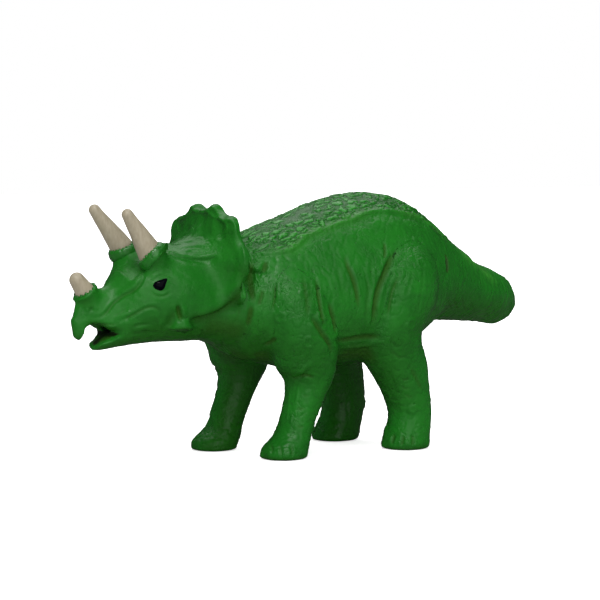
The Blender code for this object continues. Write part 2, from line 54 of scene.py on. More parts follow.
VIEW_RIGHT = Vector((math.cos(VIEW_AZIMUTH), math.sin(VIEW_AZIMUTH), 0.0))
VIEW_BACK = Vector((
    math.sin(VIEW_AZIMUTH) * math.cos(VIEW_ELEVATION),
    -math.cos(VIEW_AZIMUTH) * math.cos(VIEW_ELEVATION),
    math.sin(VIEW_ELEVATION),
))
VIEW_UP = VIEW_BACK.cross(VIEW_RIGHT)


def sight(pixel):
    """The direction from the lens through a pixel of the photograph."""
    across = (pixel[0] - PICTURE / 2) / VIEW_FOCUS
    down = (pixel[1] - PICTURE / 2) / VIEW_FOCUS
    return VIEW_RIGHT * across - VIEW_UP * down - VIEW_BACK


EYE_POINT = FLOOR_POINT - sight(FLOOR_PIXEL) * VIEW_DISTANCE


def make_camera():
    lens = bpy.data.cameras.new("photo_lens")
    lens.sensor_width = 36.0
    lens.lens = 36.0 * VIEW_FOCUS / PICTURE
    lens.clip_start = 0.01
    lens.clip_end = 10.0
    camera = bpy.data.objects.new("photo_camera", lens)
    turn = Matrix((VIEW_RIGHT, VIEW_UP, VIEW_BACK)).transposed().to_4x4()
    camera.matrix_world = Matrix.Translation(EYE_POINT) @ turn
    bpy.context.scene.collection.objects.link(camera)
    bpy.context.scene.camera = camera


# Node trees

IN_LIGHT_PATH = {"camera": 0, "glossy": 3}  # places of its outputs
LABEL_VECTOR, LABEL_NUMBER = 1, 2  # outputs of an Attribute node
OBJECT_PLACE = 3  # output of Texture Coordinate


class Wire:
    """A socket of a node tree. Sums written with wires add the Math nodes that work them out."""

    def __init__(self, tree, socket=None):
        self.tree = tree
        self.socket = socket

    def add(self, kind, settings=None, wires=None, out=0):
        node = self.tree.nodes.new(kind)
        for name, value in (settings or {}).items():
            setattr(node, name, value)
        for name, value in (wires or {}).items():
            socket = node.inputs[name]
            if isinstance(value, Wire):
                self.tree.links.new(value.socket, socket)
            else:
                socket.default_value = value
        return Wire(self.tree, node.outputs[out] if node.outputs else None)

    def sum(self, operation, *terms):
        return self.add("ShaderNodeMath", {"operation": operation}, dict(enumerate(terms)))

    def __add__(self, other):
        return self.sum("ADD", self, other)

    def __radd__(self, other):
        return self.sum("ADD", other, self)

    def __sub__(self, other):
        return self.sum("SUBTRACT", self, other)

    def __rsub__(self, other):
        return self.sum("SUBTRACT", other, self)

    def __mul__(self, other):
        return self.sum("MULTIPLY", self, other)

    def __rmul__(self, other):
        return self.sum("MULTIPLY", other, self)

    def __truediv__(self, other):
        return self.sum("DIVIDE", self, other)

    def __rtruediv__(self, other):
        return self.sum("DIVIDE", other, self)

    def __pow__(self, other):
        return self.sum("POWER", self, other)

    def least(self, other):
        return self.sum("MINIMUM", self, other)

    def size(self):
        return self.sum("ABSOLUTE", self)

    def wave(self):
        return self.sum("SINE", self)

    def rise(self, low, high):
        """0 below low, 1 above high, and smooth between them."""
        settings = {"interpolation_type": "SMOOTHSTEP"}
        return self.add("ShaderNodeMapRange", settings, {0: self, 1: low, 2: high, 3: 0.0, 4: 1.0})

    def stretched(self, scale, shift=(0.0, 0.0, 0.0)):
        """A vector wire, scaled along each axis and then shifted."""
        settings = {"operation": "MULTIPLY_ADD"}
        return self.add("ShaderNodeVectorMath", settings, {0: self, 1: scale, 2: shift})

    def plus(self, other):
        return self.add("ShaderNodeVectorMath", {"operation": "ADD"}, {0: self, 1: other})

    def times(self, amount):
        return self.add("ShaderNodeVectorMath", {"operation": "SCALE"}, {0: self, 3: amount})

    def noise(self, scale, detail=2.0, rough=0.5, out=0):
        wires = {"Vector": self, "Scale": scale, "Detail": detail, "Roughness": rough}
        return self.add("ShaderNodeTexNoise", {"noise_dimensions": "3D"}, wires, out)

    def cells(self, feature, scale, out=0, scatter=1.0):
        wires = {"Vector": self, "Scale": scale, "Randomness": scatter}
        return self.add("ShaderNodeTexVoronoi", {"feature": feature}, wires, out)

    def tinted(self, one, other):
        """The colour one where this wire is 0, and the colour other where it is 1."""
        wires = {0: self, 6: one, 7: other}
        return self.add("ShaderNodeMix", {"data_type": "RGBA", "clamp_factor": True}, wires, 2)


def paint(red, green, blue):
    """A colour as the eye reads it, 0 to 255, as the shader's linear colour."""
    linear = []
    for value in (red, green, blue):
        share = value / 255
        linear.append(share / 12.92 if share <= 0.04045 else ((share + 0.055) / 1.055) ** 2.4)
    return (*linear, 1.0)


# The green moulding

SKIN_NODES = (
    "torso",
    "head",
    "lower_jaw",
    "front_leg_left",
    "front_leg_right",
    "hind_leg_left",
    "hind_leg_right",
    "tail",
)
TORSO, TAIL, FAR_FRONT_LEG = 0, 7, 4  # places in SKIN_NODES
HEAD_AND_JAW = (1, 2)
LEGS = (3, 4, 5, 6)
GRAIN = 0.4 * MM  # spacing of the skin's points
SWELL = 0.30 * MM  # more than half the gap between two mouldings
FILLERS = ("eye_left", "eye_right", "nose_horn", "brow_horn_left", "brow_horn_right")
FRONT_STEP = 5.2 * MM  # how far each right leg stands ahead of the left one
HIND_STEP = 5.0 * MM

TAIL_LINE = np.array([
    (40.0, -0.9, 59.0),
    (50.0, -0.9, 56.5),
    (60.0, -0.6, 54.0),
    (68.0, 1.2, 51.0),
    (75.0, 4.5, 49.0),
    (82.0, 10.0, 47.3),
    (88.0, 16.5, 46.4),
    (92.0, 23.5, 46.8),
    (94.5, 30.0, 47.8),
]) * MM


def linked(name, mesh):
    piece = bpy.data.objects.new(name, mesh)
    bpy.context.scene.collection.objects.link(piece)
    return piece


def finished(piece):
    """The piece with its modifiers worked into a plain mesh."""
    bpy.context.view_layer.update()
    scene_state = bpy.context.evaluated_depsgraph_get()
    shaped = piece.evaluated_get(scene_state)
    mesh = bpy.data.meshes.new_from_object(shaped, preserve_all_data_layers=True, depsgraph=scene_state)
    piece.modifiers.clear()
    piece.data = mesh
    return piece


def join_mouldings():
    """The CAD mouldings, swollen until they meet and rebuilt as one even sheet of small faces."""
    whole = bmesh.new()
    for name in SKIN_NODES + FILLERS:
        sheet = bmesh.new()
        sheet.from_mesh(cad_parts[name].data)
        bmesh.ops.remove_doubles(sheet, verts=sheet.verts, dist=1e-6)
        sheet.normal_update()
        for point in sheet.verts:
            point.co += point.normal * SWELL
        swollen = bpy.data.meshes.new(name)
        sheet.to_mesh(swollen)
        sheet.free()
        whole.from_mesh(swollen)
    mesh = bpy.data.meshes.new("green_moulding")
    whole.to_mesh(mesh)
    whole.free()
    piece = linked("green_moulding", mesh)
    rebuild = piece.modifiers.new("even_faces", "REMESH")
    rebuild.mode = "VOXEL"
    rebuild.voxel_size = GRAIN
    finished(piece)
    keep_outside(piece)
    return piece


def read_points(mesh):
    points = np.empty(len(mesh.vertices) * 3, np.float32)
    mesh.vertices.foreach_get("co", points)
    return points.reshape(-1, 3).astype(float)


def read_edges(mesh):
    edges = np.empty(len(mesh.edges) * 2, np.int32)
    mesh.edges.foreach_get("vertices", edges)
    return edges.reshape(-1, 2)


def read_faces(mesh):
    """The corners of each face, four to a face."""
    corners = np.empty(len(mesh.loops), np.int32)
    mesh.loops.foreach_get("vertex_index", corners)
    return corners.reshape(-1, 4)


def keep_outside(piece):
    """Drops the shells of the closed hollows inside, round the ends of the pegs."""
    start, end = read_edges(piece.data).T
    shell = np.arange(len(piece.data.vertices))
    while True:
        lower = np.minimum(shell[start], shell[end])
        before = shell.copy()
        np.minimum.at(shell, start, lower)
        np.minimum.at(shell, end, lower)
        shell = shell[shell]
        if np.array_equal(before, shell):
            break
    outer = np.bincount(shell).argmax()
    sheet = bmesh.new()
    sheet.from_mesh(piece.data)
    sheet.verts.ensure_lookup_table()
    inner = [sheet.verts[index] for index in np.flatnonzero(shell != outer)]
    bmesh.ops.delete(sheet, geom=inner, context="VERTS")
    sheet.to_mesh(piece.data)
    sheet.free()


def nearest_moulding(places):
    """For each place, the number of the CAD moulding that is nearest."""
    corners = []
    faces = []
    owner = []
    for number, name in enumerate(SKIN_NODES):
        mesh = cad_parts[name].data
        base = len(corners)
        corners += [point.co.copy() for point in mesh.vertices]
        faces += [[base + index for index in face.vertices] for face in mesh.polygons]
        owner += [number] * len(mesh.polygons)
    tree = BVHTree.FromPolygons(corners, faces)
    return np.array([owner[tree.find_nearest(place)[2]] for place in places])


def smooth_line(knots, spacing):
    """Points about spacing apart on one smooth curve through the knots."""
    knots = np.array(knots, float)
    padded = np.vstack([2 * knots[0] - knots[1], knots, 2 * knots[-1] - knots[-2]])
    places = []
    for before, start, end, after in zip(padded, padded[1:], padded[2:], padded[3:]):
        count = max(2, int(np.linalg.norm(end - start) / spacing) + 1)
        for share in np.arange(count) / count:
            bend = (2 * before - 5 * start + 4 * end - after) * share**2
            twist = (3 * start - before - 3 * end + after) * share**3
            places.append(start + 0.5 * ((end - before) * share + bend + twist))
    places.append(knots[-1])
    return np.array(places)


def eased(values, low, high):
    """0 below low, 1 above high, and smooth between them."""
    share = np.clip((values - low) / (high - low), 0, 1)
    return share * share * (3 - 2 * share)


def in_outline(points, pixels):
    """How many pixels inside an outline drawn on the photograph each point is, negative outside."""
    offset = points - np.array(EYE_POINT)
    away = -(offset @ np.array(VIEW_BACK))
    across = PICTURE / 2 + VIEW_FOCUS * (offset @ np.array(VIEW_RIGHT)) / away
    down = PICTURE / 2 - VIEW_FOCUS * (offset @ np.array(VIEW_UP)) / away
    inside = np.zeros(len(points), bool)
    gap = np.full(len(points), 1e9)
    for (x0, y0), (x1, y1) in zip(pixels, pixels[1:] + pixels[:1]):
        share = ((across - x0) * (x1 - x0) + (down - y0) * (y1 - y0)) / ((x1 - x0) ** 2 + (y1 - y0) ** 2)
        share = np.clip(share, 0, 1)
        gap = np.minimum(gap, np.hypot(across - x0 - share * (x1 - x0), down - y0 - share * (y1 - y0)))
        if y0 != y1:
            crosses = (down < y0) != (down < y1)
            inside ^= crosses & (across < x0 + (down - y0) * (x1 - x0) / (y1 - y0))
    return np.where(inside, gap, -gap)


class Clay:
    """The green moulding as points that the modelling tools push about."""

    def __init__(self, piece):
        self.piece = piece
        self.mesh = piece.data
        self.points = read_points(self.mesh)
        self.start, self.end = read_edges(self.mesh).T
        self.faces = read_faces(self.mesh)
        count = len(self.points)
        self.ties = np.bincount(self.start, minlength=count) + np.bincount(self.end, minlength=count)
        self.moulding = nearest_moulding(self.points)
        # Painted shade (fold, deep) and painted highlight (pale) that the tools lay on the skin.
        self.fold = np.zeros(count)
        self.pale = np.zeros(count)
        self.deep = np.zeros(count)
        self.calm = np.zeros(count)
        self.settle()

    def settle(self):
        """Works the pushes into the mesh and reads its normals and search tree again."""
        self.mesh.vertices.foreach_set("co", self.points.astype(np.float32).ravel())
        self.mesh.update()
        normals = np.empty(len(self.points) * 3, np.float32)
        self.mesh.vertex_normals.foreach_get("vector", normals)
        self.normals = normals.reshape(-1, 3).astype(float)
        bpy.context.view_layer.update()
        self.tree = BVHTree.FromObject(self.piece, bpy.context.evaluated_depsgraph_get())
        self.push = np.zeros(len(self.points))

    def work(self):
        """Moves each point along its normal by what the tools have added up."""
        self.points += self.normals * self.push[:, None]
        self.settle()

    def around(self, values):
        """Each point's mean over the points next to it."""
        count = len(self.points)
        mean = np.empty_like(values)
        for column in range(values.shape[1]):
            one = values[:, column]
            total = np.bincount(self.start, one[self.end], count)
            total += np.bincount(self.end, one[self.start], count)
            mean[:, column] = total / self.ties
        return mean

    def smooth(self, rounds, share):
        """Relaxes the points. share is one number or one for each point."""
        share = np.broadcast_to(share, len(self.points))[:, None]
        for _ in range(rounds):
            self.points += (self.around(self.points) - self.points) * share
        self.settle()

    def rub(self, lines, reach, rounds, share=0.5):
        """Relaxes only the skin within reach of some lines that faces their way."""
        strength = np.zeros(len(self.points))
        for line in lines:
            if len(line[0]) > 1:
                picked, gap, _, _, agree = self.near(line, reach)
                wanted = share * np.clip(2 - 2 * gap / reach, 0, 1) * agree
                strength[picked] = np.maximum(strength[picked], wanted)
        self.relax(strength, rounds)

    def relax(self, strength, rounds):
        """Relaxes the points by their own strengths, as few of them as need it."""
        active = np.flatnonzero(strength)
        wanted = strength > 0
        ties = wanted[self.start] | wanted[self.end]
        start, end = self.start[ties], self.end[ties]
        place = np.full(len(self.points), len(active))
        place[active] = np.arange(len(active))
        count = len(active) + 1
        pull = strength[active, None]
        for _ in range(rounds):
            mean = np.empty((len(active), 3))
            for column in range(3):
                one = self.points[:, column]
                total = np.bincount(place[start], one[end], count)
                total += np.bincount(place[end], one[start], count)
                mean[:, column] = total[:-1] / self.ties[active]
            self.points[active] += (mean - self.points[active]) * pull
        self.settle()

    def tug(self, pixel, radius, ahead=0.0, out=0.0, up=0.0, step=None):
        """Pulls the skin round a place in millimetres, on both sides unless step is False."""
        place, _, _, _ = self.tree.ray_cast(EYE_POINT, sight(pixel))
        if place is None:
            print("no skin under", pixel)
            return
        for side in (-1, 1):
            spot = np.array(place)
            if side > 0:
                if step is False:
                    break
                spot[1] = 2 * MIDDLE_Y - spot[1]
                spot[0] -= step or 0.0
                if abs(place[1] - MIDDLE_Y) < 0.8 * MM:
                    break
            gap = np.linalg.norm(self.points - spot, axis=1)
            pull = np.exp(-((gap / (radius * MM)) ** 2))[:, None]
            self.points += pull * np.array((-ahead, side * out, up)) * MM

    def softened(self, values, rounds):
        values = values.reshape(-1, 1).astype(float)
        for _ in range(rounds):
            values = self.around(values)
        return values.ravel()

    def seen(self, pixels, spacing=0.7):
        """A line drawn on the photograph, laid on the skin: its points and their normals."""
        places = []
        normals = []
        for pixel in smooth_line(pixels, spacing):
            place, normal, _, _ = self.tree.ray_cast(EYE_POINT, sight(pixel))
            if place is not None:
                places.append(place)
                normals.append(normal)
        return np.array(places), np.array(normals)

    def mirrored(self, line, step=0.0):
        """The same line on the animal's other side, moved ahead by step."""
        places = []
        normals = []
        for place, normal in zip(*line):
            other = Vector((place[0] - step, 2 * MIDDLE_Y - place[1], place[2]))
            found, facing, _, _ = self.tree.find_nearest(other)
            if (found - other).length < 6 * MM:
                places.append(found)
                normals.append(facing)
        return np.array(places[::-1]), np.array(normals[::-1])

    def both(self, pixels, step=0.0):
        """A line drawn on the photograph, and the same on the animal's other side."""
        line = self.seen(pixels)
        if len(line[0]) < 2:
            print("no skin under", pixels[0], pixels[-1])
            return []
        return [line, self.mirrored(line, step)]

    def near(self, line, reach):
        """The points within reach of a line: which they are, how far off, the share of the line's
        length at their nearest place, the side that they are on, and how far they face its way."""
        places, facing = line
        box_low = places.min(0) - reach
        box_high = places.max(0) + reach
        picked = np.flatnonzero(((self.points > box_low) & (self.points < box_high)).all(1))
        offset = self.points[picked, None] - places[None]
        nearest = (offset**2).sum(2).argmin(1)
        offset = offset[np.arange(len(picked)), nearest]
        gap = np.linalg.norm(offset, axis=1)
        inside = gap < reach
        picked, nearest, offset, gap = picked[inside], nearest[inside], offset[inside], gap[inside]
        tangent = np.gradient(places, axis=0)[nearest]
        side = np.sign((np.cross(tangent, facing[nearest]) * offset).sum(1))
        agree = (self.normals[picked] * facing[nearest]).sum(1)
        return picked, gap, nearest / max(1, len(places) - 1), side, np.clip(agree * 2.0, 0, 1)

    def crease(self, line, depth, width, paint_tone=0.0, lip=0.3, taper=0.25):
        """A groove that fades out at both ends, with a low lip on each side and painted shade in it; a
        negative paint_tone paints a highlight along it instead.
        """
        if len(line[0]) < 2:
            return
        picked, gap, along, _, agree = self.near(line, 3.2 * width)
        ends = np.clip(np.minimum(along, 1 - along) / taper, 0, 1) if taper else 1.0
        groove = np.exp(-((gap / width) ** 2)) * agree * ends
        edge = np.exp(-(((gap - 1.8 * width) / (0.75 * width)) ** 2)) * agree * ends
        self.push[picked] += depth * (lip * edge - groove)
        # Painted shade in the groove (fold, and deep where paint_tone passes 1); a negative paint_tone gives a
        # painted highlight (pale).
        shade = np.exp(-((gap / (1.25 * width)) ** 2)) * agree * ends
        self.fold[picked] = np.maximum(self.fold[picked], shade * paint_tone)
        self.pale[picked] = np.maximum(self.pale[picked], shade * -paint_tone)
        self.deep[picked] = np.maximum(self.deep[picked], shade * (paint_tone - 1))

    def ledge(self, line, rise, drop, lip_width, drop_width, step_width, paint_tone):
        """Skin that stands up on a line's right side and falls away behind it on its left."""
        if len(line[0]) < 2:
            return
        reach = 2.6 * max(lip_width, drop_width)
        picked, gap, along, side, agree = self.near(line, reach)
        ends = np.clip(np.minimum(along, 1 - along) / 0.15, 0, 1)
        across = gap * side
        upper = np.exp(-((across / lip_width) ** 2)) * rise
        lower = np.exp(-((across / drop_width) ** 2)) * drop
        share = 0.5 + 0.5 * np.tanh(across / step_width)
        self.push[picked] += (share * upper - (1 - share) * lower) * ends * np.clip(agree * 1.5, 0, 1)
        # Painted shade on the fallen side, below the step.
        shade = np.exp(-(((across + 1.2 * step_width) / (2.5 * step_width)) ** 2)) * ends * paint_tone
        self.fold[picked] = np.maximum(self.fold[picked], shade * agree)

    def dome(self, places, height, radius):
        """Low round swellings at places on the skin."""
        for place, facing in zip(*places):
            picked = np.flatnonzero((np.abs(self.points - place) < 2.2 * radius).all(1))
            gap = np.linalg.norm(self.points[picked] - place, axis=1)
            agree = np.clip((self.normals[picked] * facing).sum(1) * 2, 0, 1)
            self.push[picked] += height * np.exp(-((gap / radius) ** 2)) * agree

    def swell(self, pixel, amount, radius):
        """Thickens whatever lies round a place, on both sides."""
        place, _, _, _ = self.tree.ray_cast(EYE_POINT, sight(pixel))
        if place is None:
            print("no skin under", pixel)
            return
        for side in (-1, 1):
            spot = np.array((place[0], MIDDLE_Y + side * abs(place[1] - MIDDLE_Y), place[2]))
            gap = np.linalg.norm(self.points - spot, axis=1)
            self.push += amount * MM * np.exp(-((gap / (radius * MM)) ** 2))

    def hollow(self, pixels, depth, edge):
        """Carves a hollow with a drawn outline into both sides, towards the middle, and paints shade into it.
        """
        near_side = self.points.copy()
        near_side[:, 1] = MIDDLE_Y - np.abs(near_side[:, 1] - MIDDLE_Y)
        sunk = edge * MM + in_outline(near_side, pixels) * VIEW_DISTANCE / VIEW_FOCUS
        facing = self.normals[:, 1] * np.sign(MIDDLE_Y - self.points[:, 1])
        amount = eased(sunk, 0.0, 2 * edge * MM) * np.isin(self.moulding, HEAD_AND_JAW) * (facing > -0.8)
        room = np.abs(self.points[:, 1] - MIDDLE_Y) - 0.8 * MM
        inward = np.minimum(amount * depth * MM, np.maximum(room, 0.0))
        self.points[:, 1] -= inward * np.sign(self.points[:, 1] - MIDDLE_Y)
        # Painted shade in the mouth: fold over the hollow, deep in its darkest part.
        self.fold = np.maximum(self.fold, amount * 0.9)
        shade = in_outline(near_side, MOUTH_SHADE) * VIEW_DISTANCE / VIEW_FOCUS
        self.deep = np.maximum(self.deep, eased(shade, -0.2 * MM, 0.6 * MM) * amount)
        self.relax(0.5 * np.clip(4 * self.softened(amount, 6), 0, 1), 36)

    def quiet(self, line, reach):
        """Keeps the fine relief off the skin within reach of a line."""
        if len(line[0]) < 2:
            return
        picked, gap, _, _, _ = self.near(line, 1.6 * reach)
        self.calm[picked] = np.maximum(self.calm[picked], np.clip(1.6 - gap / reach, 0, 1))

    def keep(self, name, values):
        """Stores one number for each point in the mesh, for the relief and the paint."""
        attribute = self.mesh.attributes.get(name) or self.mesh.attributes.new(name, "FLOAT", "POINT")
        attribute.data.foreach_set("value", values.astype(np.float32))


# What is modelled one by one, with places read from the photograph in its own pixels

FACE_CREASES = [
    # (depth, width, paint_tone, pixels) in millimetres; paint_tone is painted shade in the groove
    (0.50, 0.55, 0.45, [
        (145, 271), (143, 278), (139, 285), (133, 291), (123, 296),
        (115, 302), (110, 308), (106, 313), (100, 317), (90, 318),
    ]),
    (-0.30, 1.0, 0.0, [(142, 271), (138, 279), (132, 286), (124, 291), (115, 296)]),
    (0.45, 0.50, 0.45, [
        (160, 316), (158, 310), (153, 307), (146, 308), (140, 311), (133, 315), (125, 319), (119, 323),
    ]),
    (-0.25, 0.8, 0.0, [(135, 309), (128, 313), (119, 316), (111, 319)]),
    (0.20, 0.40, 0.25, [(130, 308), (122, 312), (112, 317)]),
    (0.25, 0.40, 0.40, [(88, 323), (96, 324), (106, 324.5), (114, 324.5), (120, 323)]),
    (0.25, 0.45, 0.25, [(131, 327), (140, 325), (151, 324)]),
    (-0.20, 0.7, 0.0, [(134, 330), (144, 328), (154, 327)]),
    (0.45, 0.8, 0.15, [(91, 307), (91.5, 310), (92, 312)]),
    (0.30, 0.7, 0.1, [(84, 307), (83.5, 310), (84, 313)]),
    (0.95, 0.65, 1.0, [(178, 304), (178.5, 309), (179.5, 315), (181, 322)]),
    (0.55, 1.3, 0.35, [(176, 309), (173, 316), (170, 323), (166, 331)]),
    (-0.35, 0.8, 0.0, [(184, 306), (184.5, 312), (186, 319)]),
    (-0.30, 0.6, 0.0, [(156, 314), (158.5, 320), (161, 328)]),
    (0.12, 0.40, 0.15, [(132, 262), (129, 271), (123, 282)]),
    (0.20, 0.60, 0.10, [(125, 335), (145, 333), (165, 332)]),
]

LID_CREASES = [
    (0.25, 0.40, 0.30, [(150, 290), (154, 294.5), (160, 296.5), (167, 295), (172, 291)]),
    (-0.16, 0.40, 0.0, [(153, 291), (158, 293.5), (164, 293.5), (169, 290)]),
    (0.20, 0.38, 0.20, [(151, 283), (155, 279), (160, 276), (167, 275), (174, 278)]),
    (0.15, 0.35, 0.15, [(168, 281), (173, 283), (177, 286)]),
    (0.14, 0.35, 0.10, [(148, 280), (154, 273), (163, 270)]),
]

BODY_CREASES = [
    # (depth, width, paint_tone, pixels) in millimetres; paint_tone paints shade into the groove, and a
    # highlight where it is negative
    # the neck, behind the frill
    (0.45, 0.9, 1.0, [(253, 257), (251, 266), (250, 276), (251, 287), (253, 298), (255, 305)]),
    (0.45, 0.7, 1.0, [(266, 260), (265, 267), (263, 274)]),
    (-0.50, 0.6, 0.0, [(262, 262), (258, 268), (256, 275), (259, 283), (264, 288)]),
    (0.40, 0.8, 1.0, [(252, 304), (250, 315), (247, 328)]),
    (0.25, 0.7, 0.7, [(263, 288), (261, 298), (258, 307)]),
    (0.40, 0.45, 0.6, [(276, 281), (275, 291), (274, 301), (272, 312)]),
    (0.55, 0.6, 0.9, [(277, 337), (271, 342), (263, 346)]),
    (0.20, 0.6, 0.4, [(240, 305), (238, 316), (233, 328)]),
    (0.18, 0.5, 0.3, [(226, 330), (222, 342), (224, 354)]),
    (-0.22, 0.4, 0.0, [(212, 340), (219, 347), (228, 357)]),
    (-0.22, 0.4, 0.0, [(219, 342), (226, 349), (232, 357)]),
    # painted shade on the chest and under the face plate, with no groove
    (0.00, 2.5, 0.8, [(258, 350), (262, 357), (264, 364)]),
    (0.00, 4.0, 0.6, [(196, 324), (214, 326), (232, 330), (250, 338)]),
    (0.00, 4.0, 0.6, [(226, 350), (240, 356), (254, 360)]),
    (0.00, 2.0, 0.5, [(186, 322), (198, 319), (212, 317), (224, 311)]),
    # behind the shoulder
    (0.30, 0.8, 0.5, [(303, 272), (305, 288), (307, 302), (307, 322)]),
    (0.22, 0.6, 0.3, [(309, 276), (310, 292), (311, 308)]),
    (0.55, 0.7, 0.9, [(315, 276), (318, 290), (320, 304), (322, 316), (324, 330)]),
    (0.65, 0.8, 1.0, [(329, 301), (331, 311), (334, 322), (336, 336)]),
    (0.70, 0.8, 0.9, [(310, 314), (316, 324), (322, 333), (329, 344), (333, 356)]),
    # the flank
    (0.45, 0.7, 0.9, [(344, 253), (347, 264), (352, 276), (356, 289), (358, 302), (359, 312)]),
    (0.15, 0.7, 0.2, [(336, 264), (340, 280), (344, 298)]),
    (0.22, 0.8, 0.3, [(366, 270), (368, 288), (367, 308), (366, 326)]),
    (0.18, 0.7, 0.2, [(372, 254), (371, 272), (372, 288)]),
    (0.60, 0.9, 0.9, [(332, 341), (345, 340), (358, 338), (370, 337), (384, 337)]),
    # painted shade under the belly, with no groove
    (0.00, 4.0, 0.8, [(334, 354), (350, 354), (366, 353), (378, 350)]),
    # the thigh
    (0.35, 0.5, 0.8, [(384, 241), (385, 250), (384.5, 260)]),
    (0.80, 0.9, 1.0, [
        (401, 246), (393, 256), (388, 265), (384, 275), (380, 285),
        (377, 295), (375, 306), (374, 318), (372, 330),
    ]),
    (0.45, 0.6, 0.6, [(401, 272), (395, 284), (391, 297), (389, 309), (386, 321)]),
    (0.18, 0.6, 0.2, [(414, 268), (410, 284), (404, 300)]),
    (0.15, 0.6, 0.2, [(424, 262), (423, 280), (420, 300), (416, 320)]),
    # the crest along the edge of the scaly back and down the tail, with a painted highlight along it; on the
    # tail's top it is partly a lighter paint as well
    (0.00, 1.7, -0.35, [
        (262, 252), (276, 250), (292, 248), (309, 234), (332, 225), (355, 217), (372, 210), (390, 210),
    ]),
    (0.00, 1.2, -0.35, [(388, 210), (404, 212), (420, 217), (434, 228), (446, 238), (458, 248)]),
    (0.00, 1.6, -0.6, [(455, 246), (466, 256), (476, 264), (487, 274), (498, 284)]),
    # the root of the tail, with deep painted shade in its slit
    (1.00, 0.55, 1.9, [(446, 253), (447, 264), (448, 274)]),
    (0.20, 0.6, 0.3, [(436, 252), (438, 268), (440, 284), (438, 300)]),
    (0.22, 0.4, 0.5, [(446, 297), (449, 303), (452, 310)]),
    (0.22, 0.4, 0.5, [(453, 298), (456, 305), (459, 312)]),
    (0.20, 0.4, 0.4, [(461, 297), (464, 305), (467, 313)]),
    (0.18, 0.4, 0.3, [(470, 298), (473, 306), (475, 314)]),
]

LEG_CREASES = [
    # (depth, width, paint_tone, step, pixels); paint_tone is painted shade in the groove
    (0.50, 0.5, 0.7, FRONT_STEP, [(298, 379), (303, 376), (309, 376), (315, 379)]),
    (0.30, 0.5, 0.4, FRONT_STEP, [(287, 374), (293, 378), (301, 376), (308, 370)]),
    (-0.30, 0.8, 0.0, FRONT_STEP, [(290, 372), (300, 372), (309, 366), (315, 357)]),
    (0.20, 0.6, 0.2, FRONT_STEP, [(270, 350), (276, 362), (282, 372)]),
    (-0.25, 0.4, 0.0, FRONT_STEP, [(290, 384), (289, 396), (288, 408), (286, 422)]),
    (-0.25, 0.4, 0.0, FRONT_STEP, [(298, 386), (297, 396), (295, 405)]),
    (-0.22, 0.4, 0.0, FRONT_STEP, [(293, 412), (291, 420), (292, 428)]),
    (0.20, 0.4, 0.5, FRONT_STEP, [(297, 407), (301, 409), (305, 408)]),
    (0.20, 0.4, 0.5, FRONT_STEP, [(296, 424), (300, 427), (305, 426)]),
    (0.18, 0.4, 0.4, FRONT_STEP, [(303, 394), (306, 396), (310, 395)]),
    (0.30, 0.5, 0.4, FRONT_STEP, [(270, 443), (272, 449), (271, 455)]),
    (0.30, 0.5, 0.4, FRONT_STEP, [(279, 444), (281, 450), (281, 457)]),
    (0.30, 0.5, 0.4, FRONT_STEP, [(290, 444), (292, 450), (292, 458)]),
    (0.15, 0.5, 0.2, FRONT_STEP, [(283, 441), (292, 441), (302, 442)]),
    (0.30, 0.7, 0.5, HIND_STEP, [(409, 366), (414, 374), (419, 384), (424, 393)]),
    (0.18, 0.5, 0.3, HIND_STEP, [(390, 350), (398, 357), (408, 358)]),
    (0.20, 0.4, 0.4, HIND_STEP, [(400, 378), (405, 380), (411, 378)]),
    (0.20, 0.4, 0.4, HIND_STEP, [(401, 386), (406, 389), (412, 387)]),
    (0.18, 0.4, 0.4, HIND_STEP, [(404, 394), (409, 397), (414, 396)]),
    (0.30, 0.5, 0.2, HIND_STEP, [(396, 336), (392, 341), (396, 347), (402, 345), (402, 339)]),
    (0.40, 0.55, 0.6, HIND_STEP, [(394, 432), (393, 439), (391, 446)]),
    (0.40, 0.55, 0.6, HIND_STEP, [(403, 434), (403, 440), (401, 447)]),
    (0.40, 0.55, 0.6, HIND_STEP, [(412, 434), (413, 440), (412, 447)]),
]

MOUTH_OUTLINE = [(97, 330.5), (104, 331), (111, 331.5), (117, 332.5), (120.5, 334.5), (117, 337)]
MOUTH_OUTLINE += [(110, 340), (102, 342.5), (94, 345), (90, 340), (92, 334)]
MOUTH_SHADE = [(88, 325), (110, 329), (122, 333), (120, 336.5), (110, 338), (103, 341), (98, 346), (86, 346)]

OUTLINE_TUGS = [
    # (pixel, radius, ahead, out, up, step)
    ((258, 374), 6.0, 1.2, 0.0, 0.0, False),
    ((175, 220), 3.0, -0.9, 0.6, -0.9, False),
    ((239, 220), 2.5, 0.4, -0.3, -0.3, False),
    ((95, 324), 2.6, 0.0, 0.0, -1.3, None),
    ((222, 208), 1.9, 0.0, 0.0, -0.9, None),
    ((201, 207), 1.6, 0.0, 0.0, -0.7, False),
    ((242, 231), 3.2, 0.9, -0.6, 0.0, False),
    ((471, 264), 5.0, 0.0, 0.0, 0.7, False),
    ((493, 277), 6.0, 0.0, 0.0, -1.3, False),
    ((424, 364), 7.0, -1.2, 0.0, 0.0, False),
    ((431, 317), 3.0, 0.9, 0.0, 0.4, False),
    ((74, 321), 3.0, 0.5, 0.0, 0.0, None),
    ((490, 316), 8.0, 0.0, 0.0, 1.5, False),
    ((511, 303), 6.0, 0.0, 0.0, 1.0, False),
    ((444, 314), 6.0, 0.0, 0.0, 0.9, False),
]

